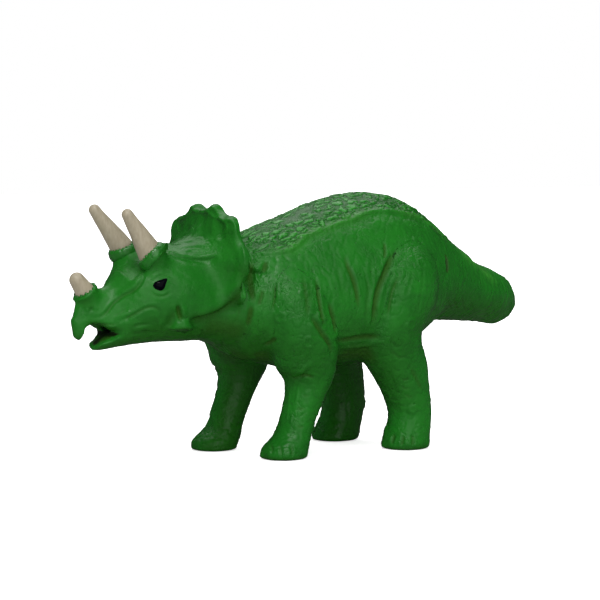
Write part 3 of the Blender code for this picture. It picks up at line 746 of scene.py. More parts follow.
FRILL_LEDGE = [(250, 250), (249, 268), (244, 282), (234, 297), (222, 309), (206, 316), (194, 318), (184, 322)]
FRILL_RIM = [(172, 241), (177, 236), (178, 225), (182, 220), (188, 216), (197, 210), (205, 213), (213, 208)]
FRILL_RIM += [(218, 214), (223, 220), (231, 221), (235, 225), (237, 235), (243, 247), (245, 262)]
FRILL_FURROWS = [
    # (depth, width, pixels)
    (0.50, 1.5, [(203, 237), (202, 226), (204, 214)]),
    (0.60, 1.5, [(224, 244), (221, 232), (219, 222)]),
    (-0.30, 1.4, [(192, 232), (190, 222)]),
    (-0.35, 1.3, [(214, 237), (213, 224), (214, 213)]),
    (-0.25, 1.2, [(231, 246), (231, 236)]),
    (0.32, 0.4, [(170, 247), (178, 243), (188, 242), (198, 243)]),
    (0.32, 0.4, [(176, 250), (188, 247.5), (200, 247.5), (212, 250)]),
    (0.30, 0.4, [(184, 253.5), (192, 251.5), (201, 252), (208, 254)]),
    (0.32, 0.4, [(193, 240), (197, 236), (202, 236), (204, 239), (199, 241)]),
    (0.28, 0.4, [(186, 239), (190, 237), (194, 233)]),
    (0.28, 0.4, [(203, 243), (208, 241), (211, 244), (206, 246)]),
]
FRILL_BOWL = [
    [(182, 226), (190, 230), (200, 233), (212, 234), (224, 234)],
    [(190, 222), (202, 224), (214, 222)],
]
ROOF_EDGE = [(166, 249), (174, 254), (184, 257), (196, 258.5), (208, 258), (218, 255)]
BAND_EDGE = [(252, 258), (264, 255), (292, 251), (309, 237), (332, 228), (355, 220), (372, 213), (394, 213)]
BAND_EDGE += [(420, 220), (440, 240)]


def lean_far_leg(clay):
    """Carries the far front leg a little further ahead between the foot and the shoulder."""
    z = clay.points[:, 2]
    far_leg = clay.softened(clay.moulding == FAR_FRONT_LEG, 10)
    clay.points[:, 0] -= 0.7 * MM * far_leg * eased(z, 6 * MM, 18 * MM) * (1 - eased(z, 36 * MM, 50 * MM))
    clay.settle()


HORN_SEATS = {
    # how far the foot moves in millimetres, and the way the collar faces, None for the horn's own way
    "brow_horn_left": ((1.3, -1.6, -1.5), (-0.62, 0.42, 0.66)),
    "brow_horn_right": ((0.3, 0.0, -0.2), (-0.34, 0.10, 0.95)),
    "nose_horn": ((0.8, 0.0, 0.0), None),
}


BED_HEIGHT = 0.7 * MM  # of a horn's flat bed over its foot


def horn_seat(node):
    """Where a horn stands, the way its collar faces, and the radius of its foot."""
    foot, axis, _, radius = horn_line(node)
    shift, facing = HORN_SEATS[node]
    return foot + Vector(shift) * MM, Vector(facing or axis).normalized(), radius


def shape_collars(clay):
    """A bed cut flat for each horn and a bank that runs from it into the head."""
    for node, reach in (("brow_horn_left", 6.5), ("brow_horn_right", 6.5), ("nose_horn", 5.0)):
        old_foot, _, _, _ = horn_line(node)
        foot, _, _ = horn_seat(node)
        gap = np.linalg.norm(clay.points - np.array(old_foot), axis=1)
        clay.points += np.exp(-((gap / (reach * MM)) ** 2))[:, None] * np.array(foot - old_foot)
    clay.settle()
    rubbed = np.zeros(len(clay.points))
    for node, tall, bulge, drop, slope in (
        ("brow_horn_left", 3.2, 0.3, 3.6, 0.6),
        ("brow_horn_right", 3.2, 0.3, 3.0, 0.6),
        ("nose_horn", 1.8, 0.35, 1.0, 0.9),
    ):
        foot, facing, radius = horn_seat(node)
        _, axis, _, _ = horn_line(node)
        facing = np.array(facing)
        offset = clay.points - np.array(foot)
        rise = offset @ facing
        across = offset - rise[:, None] * facing
        far = np.linalg.norm(across, axis=1)
        steep = (offset @ np.array(axis))[:, None] * np.array(axis)
        slim = np.linalg.norm(offset - steep, axis=1)
        side = 0.0 if node == "nose_horn" else math.copysign(1.0, foot.y - MIDDLE_Y)
        own = eased((clay.points[:, 1] - MIDDLE_Y) * side, -1.2 * MM, 1.2 * MM) if side else np.ones(len(far))
        close = (far < radius + 1.2 * MM) | (slim < radius + 3.2 * MM)
        cut = np.where((rise > BED_HEIGHT) & close & (rise < 25 * MM), rise - BED_HEIGHT, 0.0) * own
        clay.points -= cut[:, None] * facing
        rise = rise - cut
        beyond = far - radius - 0.2 * MM
        bank = BED_HEIGHT - drop * MM * eased(beyond, 0.0, 1.0 * MM) + np.maximum(beyond - 1.0 * MM, 0) * slope
        above = (beyond > 0) & (beyond < 6 * MM) & (rise > bank) & (rise < 8 * MM)
        cut = np.where(above, rise - bank, 0.0) * own
        clay.points -= cut[:, None] * facing
        rise = rise - cut
        ring = np.clip(1 - np.abs((rise + (tall / 2 - 0.9) * MM) / (tall / 2 * MM)), 0, 1) ** 0.6
        ring *= (far > radius * 0.8) & (far < radius + 2.5 * MM)
        clay.points += across / np.maximum(far, 1e-6)[:, None] * (ring * bulge * MM)[:, None]
        below = eased(-rise, (tall - 1.2) * MM, (tall + 0.6) * MM) * (1 - eased(-rise, 8 * MM, 11 * MM))
        rubbed = np.maximum(rubbed, 0.5 * below * (far < radius + 5 * MM) * (far > radius * 0.5))
        if side:
            level = (1 - eased(-rise, 7 * MM, 10 * MM)) * (rise < 1.5 * MM)
            rubbed = np.maximum(rubbed, 0.5 * level * own * (1 - eased(far, radius + 4 * MM, radius + 7 * MM)))
    clay.relax(rubbed, 90)


def blend_mouldings(clay):
    """Rubs out the steps where one CAD form runs into the next."""
    for reach, rounds, pixels in (
        (5.5, 140, [(182, 250), (190, 256), (200, 264), (210, 273), (219, 285), (226, 297)]),
        (2.4, 80, [(119, 331), (140, 331), (160, 330.6), (180, 330.6), (196, 330.6), (206, 331)]),
        (7.0, 120, [
            (398, 252), (404, 245), (414, 242), (425, 245), (434, 254), (438, 268), (440, 286), (438, 305),
        ]),
        (6.0, 80, [(306, 300), (300, 280), (292, 268), (282, 262), (273, 266), (268, 280), (266, 300)]),
        (4.0, 80, [(170, 268), (162, 271), (150, 272), (140, 268)]),
        (4.0, 120, [(118, 262), (126, 266), (134, 270), (142, 273)]),
    ):
        clay.rub(clay.both(pixels), reach * MM, rounds)


def follow_outline(clay):
    """Small pulls that bring the outline onto the photograph's, in millimetres."""
    for pixel, radius, ahead, out, up, step in OUTLINE_TUGS:
        clay.tug(pixel, radius, ahead, out, up, step)
    clay.settle()


def shape_big_forms(clay):
    """The overhang of the frill, the step beside the scaly back, the frill's bowl and the belly's fold."""
    # The frill's overhang, with painted shade on the neck below it.
    for line in clay.both(FRILL_LEDGE):
        clay.ledge(line, 0.6 * MM, 1.8 * MM, 3.0 * MM, 4.6 * MM, 0.8 * MM, 0.5)
    clay.work()
    for line in clay.both(BAND_EDGE[::-1]):
        clay.ledge(line, 0.6 * MM, 0.3 * MM, 1.6 * MM, 2.4 * MM, 0.45 * MM, 0.0)
    for pixel, height, radius in (
        ((249, 297), 0.4, 2.0),
        ((198, 232), -2.4, 5.5),
        ((216, 237), -1.4, 4.5),
        ((185, 317), 0.5, 2.2),
    ):
        for line in clay.both([pixel, (pixel[0] + 0.5, pixel[1])]):
            clay.dome((line[0][::3], line[1][::3]), height * MM, radius * MM)
    for line in clay.both([(334, 348), (350, 347), (366, 345), (382, 341)]):
        clay.crease(line, -0.5 * MM, 1.0 * MM, lip=0.0)
    clay.work()


def shape_frill(clay):
    """The frill's smooth bowl, the edge of the brow's roof, the raised rim and its valleys."""
    for pixels in FRILL_BOWL:
        clay.rub(clay.both(pixels), 5.0 * MM, 40)
    for line in clay.both(ROOF_EDGE[::-1]):
        clay.ledge(line, 0.45 * MM, 0.8 * MM, 1.4 * MM, 2.0 * MM, 0.35 * MM, 0.0)
    for line in clay.both(FRILL_RIM):
        clay.crease(line, -0.45 * MM, 0.6 * MM, lip=0.0, taper=0.05)
    for depth, width, pixels in FRILL_FURROWS:
        for line in clay.both(pixels):
            clay.crease(line, depth * MM, width * MM, lip=0.0, taper=0.35)
    clay.work()


def shape_creases(clay):
    """The mouth, the folds of the skin and the tip of the beak."""
    clay.hollow(MOUTH_OUTLINE, 4.0, 0.35)
    for depth, width, paint_tone, pixels in FACE_CREASES + LID_CREASES + BODY_CREASES:
        for line in clay.both(pixels):
            clay.crease(line, depth * MM, width * MM, paint_tone)
    for depth, width, paint_tone, step, pixels in LEG_CREASES:
        for line in clay.both(pixels, step):
            clay.crease(line, depth * MM, width * MM, paint_tone)
    clay.swell((79, 336), 0.5, 1.6)
    clay.work()


def tail_run(points):
    """How far along the tail's middle line each point is."""
    line = smooth_line(TAIL_LINE, 0.5 * MM)
    run = np.concatenate([[0.0], np.cumsum(np.linalg.norm(np.diff(line, axis=0), axis=1))])
    nearest = np.empty(len(points), int)
    for first in range(0, len(points), 20000):
        block = points[first:first + 20000]
        nearest[first:first + 20000] = ((block[:, None] - line[None]) ** 2).sum(2).argmin(1)
    tangent = np.gradient(line, axis=0)[nearest]
    tangent /= np.linalg.norm(tangent, axis=1)[:, None]
    return run[nearest] + ((points - line[nearest]) * tangent).sum(1)


def mark_regions(clay):
    """Stores where the scaly back, the tail's rings and the calm places are, and where shade and highlights
    are painted.
    """
    edge, _ = clay.seen(BAND_EDGE)
    order = np.argsort(edge[:, 0])
    x, y, z = clay.points.T
    half_width = np.interp(x, edge[order, 0], MIDDLE_Y - edge[order, 1])
    edge_height = np.interp(x, edge[order, 0], edge[order, 2])
    across = np.abs(y - MIDDLE_Y)
    inside = np.clip((half_width - across) / (1.5 * MM), 0, 1)
    inside *= np.clip((z - edge_height) / (1.0 * MM) + 0.6, 0, 1)
    ends = np.clip((x + 36 * MM) / (3 * MM), 0, 1) * np.clip((58 * MM - x) / (16 * MM), 0, 1)
    body = (clay.moulding == TORSO) | (clay.moulding == TAIL)
    band = np.where(body, inside * ends, 0.0)
    clay.keep("band", clay.softened(band, 2))
    on_tail = clay.moulding == TAIL
    run = np.zeros(len(x))
    run[on_tail] = tail_run(clay.points[on_tail])
    clay.keep("tail_run", run)
    clay.keep("tail_share", clay.softened(on_tail, 12))
    legs = np.isin(clay.moulding, LEGS)
    clay.keep("leg_share", clay.softened(legs, 12))
    head = np.isin(clay.moulding, HEAD_AND_JAW)
    clay.keep("head_share", clay.softened(head, 8))
    # Painted shade on surfaces that face down and on the legs' inner sides.
    broad = clay.normals.copy()
    for _ in range(12):
        broad = clay.around(broad)
    inner = np.clip(-broad[:, 1] * np.sign(y - MIDDLE_Y) * 1.6, 0, 1) * clay.softened(legs, 12)
    clay.keep("underside_and_inner_shade", np.maximum(inner, np.clip(-1.3 * broad[:, 2], 0, 1)))
    sole = np.clip((1.2 * MM - z) / (0.8 * MM), 0, 1)
    clay.keep("calm", np.maximum(clay.calm, sole))
    # Painted shade (fold, deep) and painted highlight (pale), for the finish.
    clay.keep("fold", np.clip(clay.fold, 0, 1))
    clay.keep("pale", np.clip(clay.pale, 0, 1))
    clay.keep("deep", np.clip(clay.deep, 0, 1))


def new_tree(name, inputs):
    """A Geometry Nodes tree with named inputs, as the tree, its input wires and its inputs' identifiers."""
    tree = bpy.data.node_groups.new(name, "GeometryNodeTree")
    tree.interface.new_socket("Geometry", in_out="INPUT", socket_type="NodeSocketGeometry")
    identifiers = {}
    for label, kind in inputs.items():
        socket = tree.interface.new_socket(label, in_out="INPUT", socket_type="NodeSocket" + kind)
        identifiers[label] = socket.identifier
    tree.interface.new_socket("Geometry", in_out="OUTPUT", socket_type="NodeSocketGeometry")
    entry = tree.nodes.new("NodeGroupInput")
    wires = {socket.name: Wire(tree, socket) for socket in entry.outputs if socket.name}
    return tree, wires, identifiers


def close_tree(tree, shape, finish):
    """Ends a tree in plain mesh that carries its finish."""
    real = Wire(tree).add("GeometryNodeRealizeInstances", None, {"Geometry": shape})
    painted = Wire(tree).add("GeometryNodeSetMaterial", None, {"Geometry": real, "Material": finish})
    leave = tree.nodes.new("NodeGroupOutput")
    tree.links.new(painted.socket, leave.inputs[0])


def shaped_by(piece, tree, identifiers, values):
    """Runs a tree on a piece with its inputs set, and leaves a plain mesh."""
    modifier = piece.modifiers.new(tree.name, "NODES")
    modifier.node_group = tree
    for label, value in values.items():
        modifier[identifiers[label]] = value
    return finished(piece)


def stored(tree, name):
    return Wire(tree).add("GeometryNodeInputNamedAttribute", {"data_type": "FLOAT"}, {"Name": name})


def relief_tree():
    """Scales, rosettes, rings and wrinkles that follow the skin."""
    tree, inputs, identifiers = new_tree("skin_relief", {
        "Pebble length": "Float",
        "Pebble width": "Float",
        "Pebble height": "Float",
        "Rosette spacing": "Float",
        "Rosette height": "Float",
        "Ring spacing": "Float",
        "Ring height": "Float",
        "Wrinkle height": "Float",
        "Pimple height": "Float",
        "Lump height": "Float",
        "Grain height": "Float",
        "Finish": "Material",
    })
    start = Wire(tree)
    position = start.add("GeometryNodeInputPosition").stretched((1000.0, 1000.0, 1000.0))
    normal = start.add("GeometryNodeInputNormal")
    x, y, z = (position.add("ShaderNodeSeparateXYZ", None, {0: position}, out) for out in range(3))
    band = stored(tree, "band")
    calm = 1 - stored(tree, "calm").rise(0.0, 1.0)
    legs = stored(tree, "leg_share")
    head = stored(tree, "head_share")
    tail = stored(tree, "tail_share")

    around = start.sum("ARCTAN2", y + 0.913, z - 52.0) * 25.0
    laid = start.add("ShaderNodeCombineXYZ", None, {0: x, 1: around, 2: z * 0.12})
    wander = laid.noise(0.30, 2.0, 0.5, 1).stretched((3.0, 3.6, 0.0), (-1.5, -1.8, 0.0))
    ripple = laid.noise(0.80, 1.0, 0.5, 1).stretched((2.4, 2.6, 0.0), (-1.2, -1.3, 0.0))
    bent = laid.plus(wander).plus(ripple)
    lengths = 1 / inputs["Pebble length"]
    widths = 1 / inputs["Pebble width"]
    shape = start.add("ShaderNodeCombineXYZ", None, {0: lengths, 1: widths, 2: 0.0})
    pebbles = bent.add("ShaderNodeVectorMath", {"operation": "MULTIPLY"}, {0: bent, 1: shape})
    kept = start.add(
        "GeometryNodeStoreNamedAttribute",
        {"data_type": "FLOAT_VECTOR", "domain": "POINT"},
        {"Geometry": inputs["Geometry"], "Name": "laid", "Value": pebbles},
    )
    gap = pebbles.cells("DISTANCE_TO_EDGE", 1.0)
    dome = gap.rise(0.0, 0.26)
    tall = pebbles.cells("F1", 1.0, 1)
    tall = tall.add("ShaderNodeSeparateXYZ", None, {0: tall})
    scaly = dome * (tall * 0.6 + 0.5) * band

    run = stored(tree, "tail_run") * 6283.2
    ring_wave = (run / inputs["Ring spacing"] + position.noise(0.16, 2.0) * 9.0).wave()
    ring_break = position.noise(0.20, 1.0).rise(0.42, 0.62)
    rings = (ring_wave * 0.5 + 0.5) ** 1.5 * ring_break * tail * (1 - band * 0.8)

    spread = position.times(1 / inputs["Rosette spacing"])
    off = spread.cells("F1", 1.0)
    chosen = spread.cells("F1", 1.0, 1)
    chosen = chosen.add("ShaderNodeSeparateXYZ", None, {0: chosen}).rise(0.45, 0.5)
    rosette = off.rise(0.10, 0.19) * (1 - off.rise(0.21, 0.32)) * chosen
    rosette = rosette * (1 - band) * (1 - head * 0.8) * (1 - tail * 0.6)

    upright = position.stretched((0.30, 0.30, 0.09)).noise(1.0, 1.0, 0.3)
    lying = position.stretched((0.22, 0.22, 0.34)).noise(1.0, 1.0, 0.3)
    upright = 1 - ((upright - 0.5).size() * 14.0).least(1.0)
    lying = 1 - ((lying - 0.5).size() * 14.0).least(1.0)
    wrinkle = (upright * (1 - legs) * (1 - head * 0.8) + lying * legs) * (1 - band) * (1 - tail * 0.5)

    grain = (position.noise(0.45, 1.0, 0.4) - 0.5) * 2.0
    lumps = (position.noise(0.28, 2.0, 0.5) - 0.5) * 2.0
    dots = position.times(0.55)
    picked = dots.cells("F1", 1.0, 1)
    picked = picked.add("ShaderNodeSeparateXYZ", None, {0: picked}).rise(0.5, 0.6)
    pimple = (1 - dots.cells("F1", 1.0).rise(0.10, 0.38)) * picked * (1 - band) * (1 - head * 0.8)

    height = scaly * inputs["Pebble height"] + rings * inputs["Ring height"]
    height = height + rosette * inputs["Rosette height"] - wrinkle * inputs["Wrinkle height"]
    height = height + pimple * inputs["Pimple height"] + lumps * inputs["Lump height"]
    height = (height + grain * inputs["Grain height"]) * calm * MM
    moved = start.add("GeometryNodeSetPosition", None, {"Geometry": kept, "Offset": normal.times(height)})
    # Where the finish paints shade: between the pebbles, in the tail's ring grooves and in the wrinkles.
    pit = (1 - dome) * band + (1 - ring_wave).rise(0.9, 2.0) * tail * 0.35 + wrinkle * 0.35
    marked = start.add(
        "GeometryNodeStoreNamedAttribute",
        {"data_type": "FLOAT", "domain": "POINT"},
        {"Geometry": moved, "Name": "pit", "Value": pit * calm},
    )
    close_tree(tree, marked, inputs["Finish"])
    return tree, identifiers


def nub_tree():
    """A ring of moulded nubs that stand round a collar's upper edge."""
    tree, inputs, identifiers = new_tree("collar_nubs", {
        "Count": "Int",
        "Ring radius": "Float",
        "Nub width": "Float",
        "Nub length": "Float",
        "Seed": "Int",
        "Finish": "Material",
    })
    start = Wire(tree)
    ring = start.add(
        "GeometryNodeCurvePrimitiveCircle",
        {"mode": "RADIUS"},
        {"Resolution": inputs["Count"], "Radius": inputs["Ring radius"]},
    )
    spots = start.add("GeometryNodeCurveToPoints", {"mode": "EVALUATED"}, {"Curve": ring})
    bead = start.add("GeometryNodeMeshIcoSphere", None, {"Radius": 1.0, "Subdivisions": 2})
    vector = {"data_type": "FLOAT_VECTOR"}
    jitter = start.add("FunctionNodeRandomValue", vector, {
        0: (-0.12, -0.12, -0.35),
        1: (0.12, 0.12, 0.35),
        "Seed": inputs["Seed"],
    })
    spots = start.add("GeometryNodeSetPosition", None, {
        "Geometry": spots,
        "Offset": jitter.times(inputs["Nub width"]),
    })
    size = start.add("ShaderNodeCombineXYZ", None, {
        0: inputs["Nub width"],
        1: inputs["Nub width"],
        2: inputs["Nub length"],
    })
    limits = {2: 0.75, 3: 1.2, "Seed": inputs["Seed"]}
    vary = start.add("FunctionNodeRandomValue", {"data_type": "FLOAT"}, limits, 1)
    nubs = start.add("GeometryNodeInstanceOnPoints", None, {
        "Points": spots,
        "Instance": bead,
        "Scale": size.times(vary),
    })
    close_tree(tree, nubs, inputs["Finish"])
    return tree, identifiers


def part_mouldings(clay, extras):
    """Cuts the sheet into one closed piece for each CAD moulding, with unbroken shading across the cuts."""
    mesh = clay.piece.data
    points = read_points(mesh)
    faces = read_faces(mesh)
    normals = np.empty(len(points) * 3, np.float32)
    mesh.vertex_normals.foreach_get("vector", normals)
    normals = normals.reshape(-1, 3)
    kept = {}
    for name in ("fold", "pale", "deep", "pit", "band", "underside_and_inner_shade", "head_share"):
        values = np.empty(len(points), np.float32)
        mesh.attributes[name].data.foreach_get("value", values)
        kept[name] = values
    kept["gloss"] = np.zeros(len(points), np.float32)
    laid = np.empty(len(points) * 3, np.float32)
    mesh.attributes["laid"].data.foreach_get("vector", laid)
    laid = laid.reshape(-1, 3)
    share = np.stack([clay.softened(clay.moulding == number, 6) for number in range(len(SKIN_NODES))])
    owner = share[:, faces].sum(2).argmax(0)
    pieces = {}
    for number, name in enumerate(SKIN_NODES):
        own = faces[owner == number]
        used, local = np.unique(own, return_inverse=True)
        sheet_points = points[used]
        sheet_faces = local.reshape(-1, 4).tolist()
        sheet_normals = normals[used]
        for extra in extras.get(name, ()):
            base = len(sheet_points)
            sheet_points = np.vstack([sheet_points, read_points(extra)])
            sheet_faces += [[base + index for index in face.vertices] for face in extra.polygons]
            sheet_normals = np.vstack([sheet_normals, [point.normal for point in extra.vertices]])
        part = bpy.data.meshes.new(name + "_skin")
        part.from_pydata(sheet_points.tolist(), [], sheet_faces)
        for label, values in kept.items():
            padded = np.full(len(sheet_points), label == "gloss", np.float32)
            padded[:len(used)] = values[used]
            part.attributes.new(label, "FLOAT", "POINT").data.foreach_set("value", padded)
        padded = np.zeros((len(sheet_points), 3), np.float32)
        padded[:len(used)] = laid[used]
        part.attributes.new("laid", "FLOAT_VECTOR", "POINT").data.foreach_set("vector", padded.ravel())
        sheet = bmesh.new()
        sheet.from_mesh(part)
        rim = [edge for edge in sheet.edges if edge.is_boundary]
        filled = bmesh.ops.holes_fill(sheet, edges=rim, sides=0)
        bmesh.ops.triangulate(sheet, faces=filled["faces"])
        still_open = sum(edge.is_boundary for edge in sheet.edges)
        print(name, "faces", len(sheet.faces), "open edges", still_open)
        for face in sheet.faces:
            face.smooth = True
        sheet.to_mesh(part)
        sheet.free()
        part.normals_split_custom_set_from_vertices(sheet_normals.tolist())
        part.materials.append(clay.piece.data.materials[0])
        pieces[name] = linked(name + "_skin", part)
    bpy.data.objects.remove(clay.piece)
    return pieces


# The horns and the eyes


def horn_line(node):
    """A CAD horn's foot, its direction and its length, from its own mesh."""
    points = read_points(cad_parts[node].data)
    centre = points.mean(0)
    _, _, axes = np.linalg.svd(points - centre, full_matrices=False)
    axis = axes[0] * np.sign(axes[0][2])
    along = (points - centre) @ axis
    radius = np.linalg.norm(points - centre - along[:, None] * axis, axis=1)
    foot = along[radius > radius.max() - 0.05 * MM].min()
    return Vector(centre + axis * foot), Vector(axis), along.max() - foot, radius.max()


def upright_on(foot, axis):
    """The turn and shift that stand a form made along z on a foot, along an axis."""
    return Matrix.Translation(foot) @ axis.to_track_quat("Z", "Y").to_matrix().to_4x4()


def smooth_mesh(name, sheet, place, finish):
    """A sheet of faces put in place as a smooth mesh in its finish."""
    for face in sheet.faces:
        face.smooth = True
    sheet.transform(place)
    mesh = bpy.data.meshes.new(name)
    sheet.to_mesh(mesh)
    sheet.free()
    mesh.materials.append(finish)
    return mesh


def turned_horn(name, node, tip_radius, base_radius, longer, lean, finish):
    """A blunt horn, a little uneven, that stands in its collar."""
    foot, axis, length, _ = horn_line(node)
    length += longer
    tip = foot + axis * length + Vector(lean)
    foot, _, _ = horn_seat(node)
    foot = foot - axis * 0.7 * MM
    axis = (tip - foot).normalized()
    length = (tip - foot).length
    rows = 46
    points_round = 56
    sheet = bmesh.new()
    rings = []
    straight = length - tip_radius
    for row in range(rows):
        share = row / (rows - 1)
        bend = max(0.0, (share - 0.72) / 0.28) * math.pi / 2 * 0.985
        height = straight * min(1.0, share / 0.72) + tip_radius * math.sin(bend)
        taper = tip_radius + (base_radius - tip_radius) * (1 - min(1.0, share / 0.72)) ** 1.08
        width = taper * math.cos(bend) * (0.7 + 0.3 * min(1.0, share / 0.08))
        ring = []
        for place in range(points_round):
            angle = 2 * math.pi * place / points_round
            wobble = 1 + 0.012 * math.sin(3 * angle + height / MM * 0.5)
            wobble += 0.008 * math.sin(5 * angle - height / MM)
            wide = width * wobble
            ring.append(sheet.verts.new((wide * math.cos(angle), wide * math.sin(angle), height)))
        rings.append(ring)
    for low, high in zip(rings, rings[1:]):
        for place in range(points_round):
            after = (place + 1) % points_round
            sheet.faces.new((low[place], low[after], high[after], high[place]))
    sheet.faces.new(list(reversed(rings[0])))
    sheet.faces.new(rings[-1])
    return linked(name, smooth_mesh(name, sheet, upright_on(foot, axis), finish))


def nub_ring(node, count, width, length, lift, spread, seed, finish):
    """The nubs round the collar of one horn, as a plain mesh in place."""
    foot, axis, radius = horn_seat(node)
    tree, identifiers = nub_tree()
    piece = linked("nubs", bpy.data.meshes.new("nubs"))
    shaped_by(piece, tree, identifiers, {
        "Count": count,
        "Ring radius": radius + spread,
        "Nub width": width,
        "Nub length": length,
        "Seed": seed,
        "Finish": finish,
    })
    mesh = piece.data
    mesh.transform(upright_on(foot + axis * lift, axis))
    bpy.data.objects.remove(piece)
    return mesh


def collar_roll(node, spread, thick, lift, finish):
    """The rounded, uneven roll of skin under the nubs of a collar, with sizes in millimetres."""
    foot, axis, radius = horn_seat(node)
    sheet = bmesh.new()
    rings = []
    for place in range(96):
        angle = 2 * math.pi * place / 96
        notch = max(0.0, math.cos(12 * angle + 1.5 * math.sin(3 * angle))) ** 3
        ring = []
        for step in range(14):
            turn = 2 * math.pi * step / 14
            depth = thick * (1 + 0.08 * math.sin(5 * angle))
            depth *= 1 - 0.22 * notch * max(0.0, math.sin(turn + 0.6))
            upper = max(0.0, math.sin(turn))
            lower = max(0.0, -math.sin(turn))
            width = radius + (spread + depth * (math.cos(turn) + 0.5 * lower)) * MM
            height = (lift + depth * (1.15 * upper - 2.6 * lower)) * MM
            spot = (width * math.cos(angle), width * math.sin(angle), height)
            ring.append(sheet.verts.new(spot))
        rings.append(ring)
    for near, after in zip(rings, rings[1:] + rings[:1]):
        for step in range(14):
            following = (step + 1) % 14
            sheet.faces.new((near[step], after[step], after[following], near[following]))
    return smooth_mesh("roll", sheet, upright_on(foot, axis), finish)


EYE_OUTLINE = [(152.6, 285.8), (154.2, 282.6), (157.4, 280.6), (162.0, 279.2), (166.8, 278.2), (167.3, 280.6)]
EYE_OUTLINE += [(166.0, 284.6), (164.6, 288.4), (161.6, 290.8), (157.6, 290.2), (154.4, 288.4)]


def drop_eye(name, clay, side, finish):
    """A glossy drop, domed out of the face and closed behind."""
    knots = EYE_OUTLINE + EYE_OUTLINE[:1]
    outline = smooth_line(knots, 0.7)[:-1]
    rim = np.array([clay.tree.ray_cast(EYE_POINT, sight(pixel))[0] for pixel in outline])
    centre = rim.mean(0)
    _, _, axes = np.linalg.svd(rim - centre)
    facing = axes[2] * -np.sign(axes[2][1])
    rim = rim - ((rim - centre) @ facing)[:, None] * facing * 0.6
    rows = 12
    rings = []
    for row in range(rows):
        bend = row / rows * math.pi / 2
        stand = 1.15 * MM * math.sin(bend) - 0.25 * MM
        rings.append(centre + (rim - centre) * math.cos(bend) + facing * stand)
    rings = [centre + (rim - centre) * 0.9 - facing * 1.6 * MM] + rings
    points = np.vstack(rings + [centre + facing * 0.9 * MM, centre - facing * 1.6 * MM])
    count = len(rim)
    faces = []
    for row in range(rows):
        for place in range(count):
            after = (place + 1) % count
            base = row * count
            faces.append((base + place, base + after, base + count + after, base + count + place))
    top = len(points) - 2
    for place in range(count):
        after = (place + 1) % count
        faces.append((rows * count + place, rows * count + after, top))
        faces.append((after, place, top + 1))
    if side > 0:
        points[:, 1] = 2 * MIDDLE_Y - points[:, 1]
    mesh = bpy.data.meshes.new(name)
    mesh.from_pydata(points.tolist(), [], faces)
    sheet = bmesh.new()
    sheet.from_mesh(mesh)
    bmesh.ops.recalc_face_normals(sheet, faces=sheet.faces)
    for face in sheet.faces:
        face.smooth = True
    sheet.to_mesh(mesh)
    sheet.free()
    mesh.materials.append(finish)
    return linked(name, mesh)


# Finishes


def new_finish(name):
    """A material, and a wire in its tree to start from."""
    finish = bpy.data.materials.new(name)
    finish.use_nodes = True
    finish.node_tree.nodes.clear()
    return finish, Wire(finish.node_tree)


def close_finish(start, settings):
    """Ends a material in one Principled shader."""
    shader = start.add("ShaderNodeBsdfPrincipled", None, settings)
    start.add("ShaderNodeOutputMaterial", None, {"Surface": shader})


def in_millimetres(start):
    place = start.add("ShaderNodeTexCoord", None, None, OBJECT_PLACE)
    return place.stretched((1000.0, 1000.0, 1000.0))


def carried(start, name):
    """A number that the mesh carries at each point."""
    return start.add("ShaderNodeAttribute", {"attribute_name": name}, None, LABEL_NUMBER)


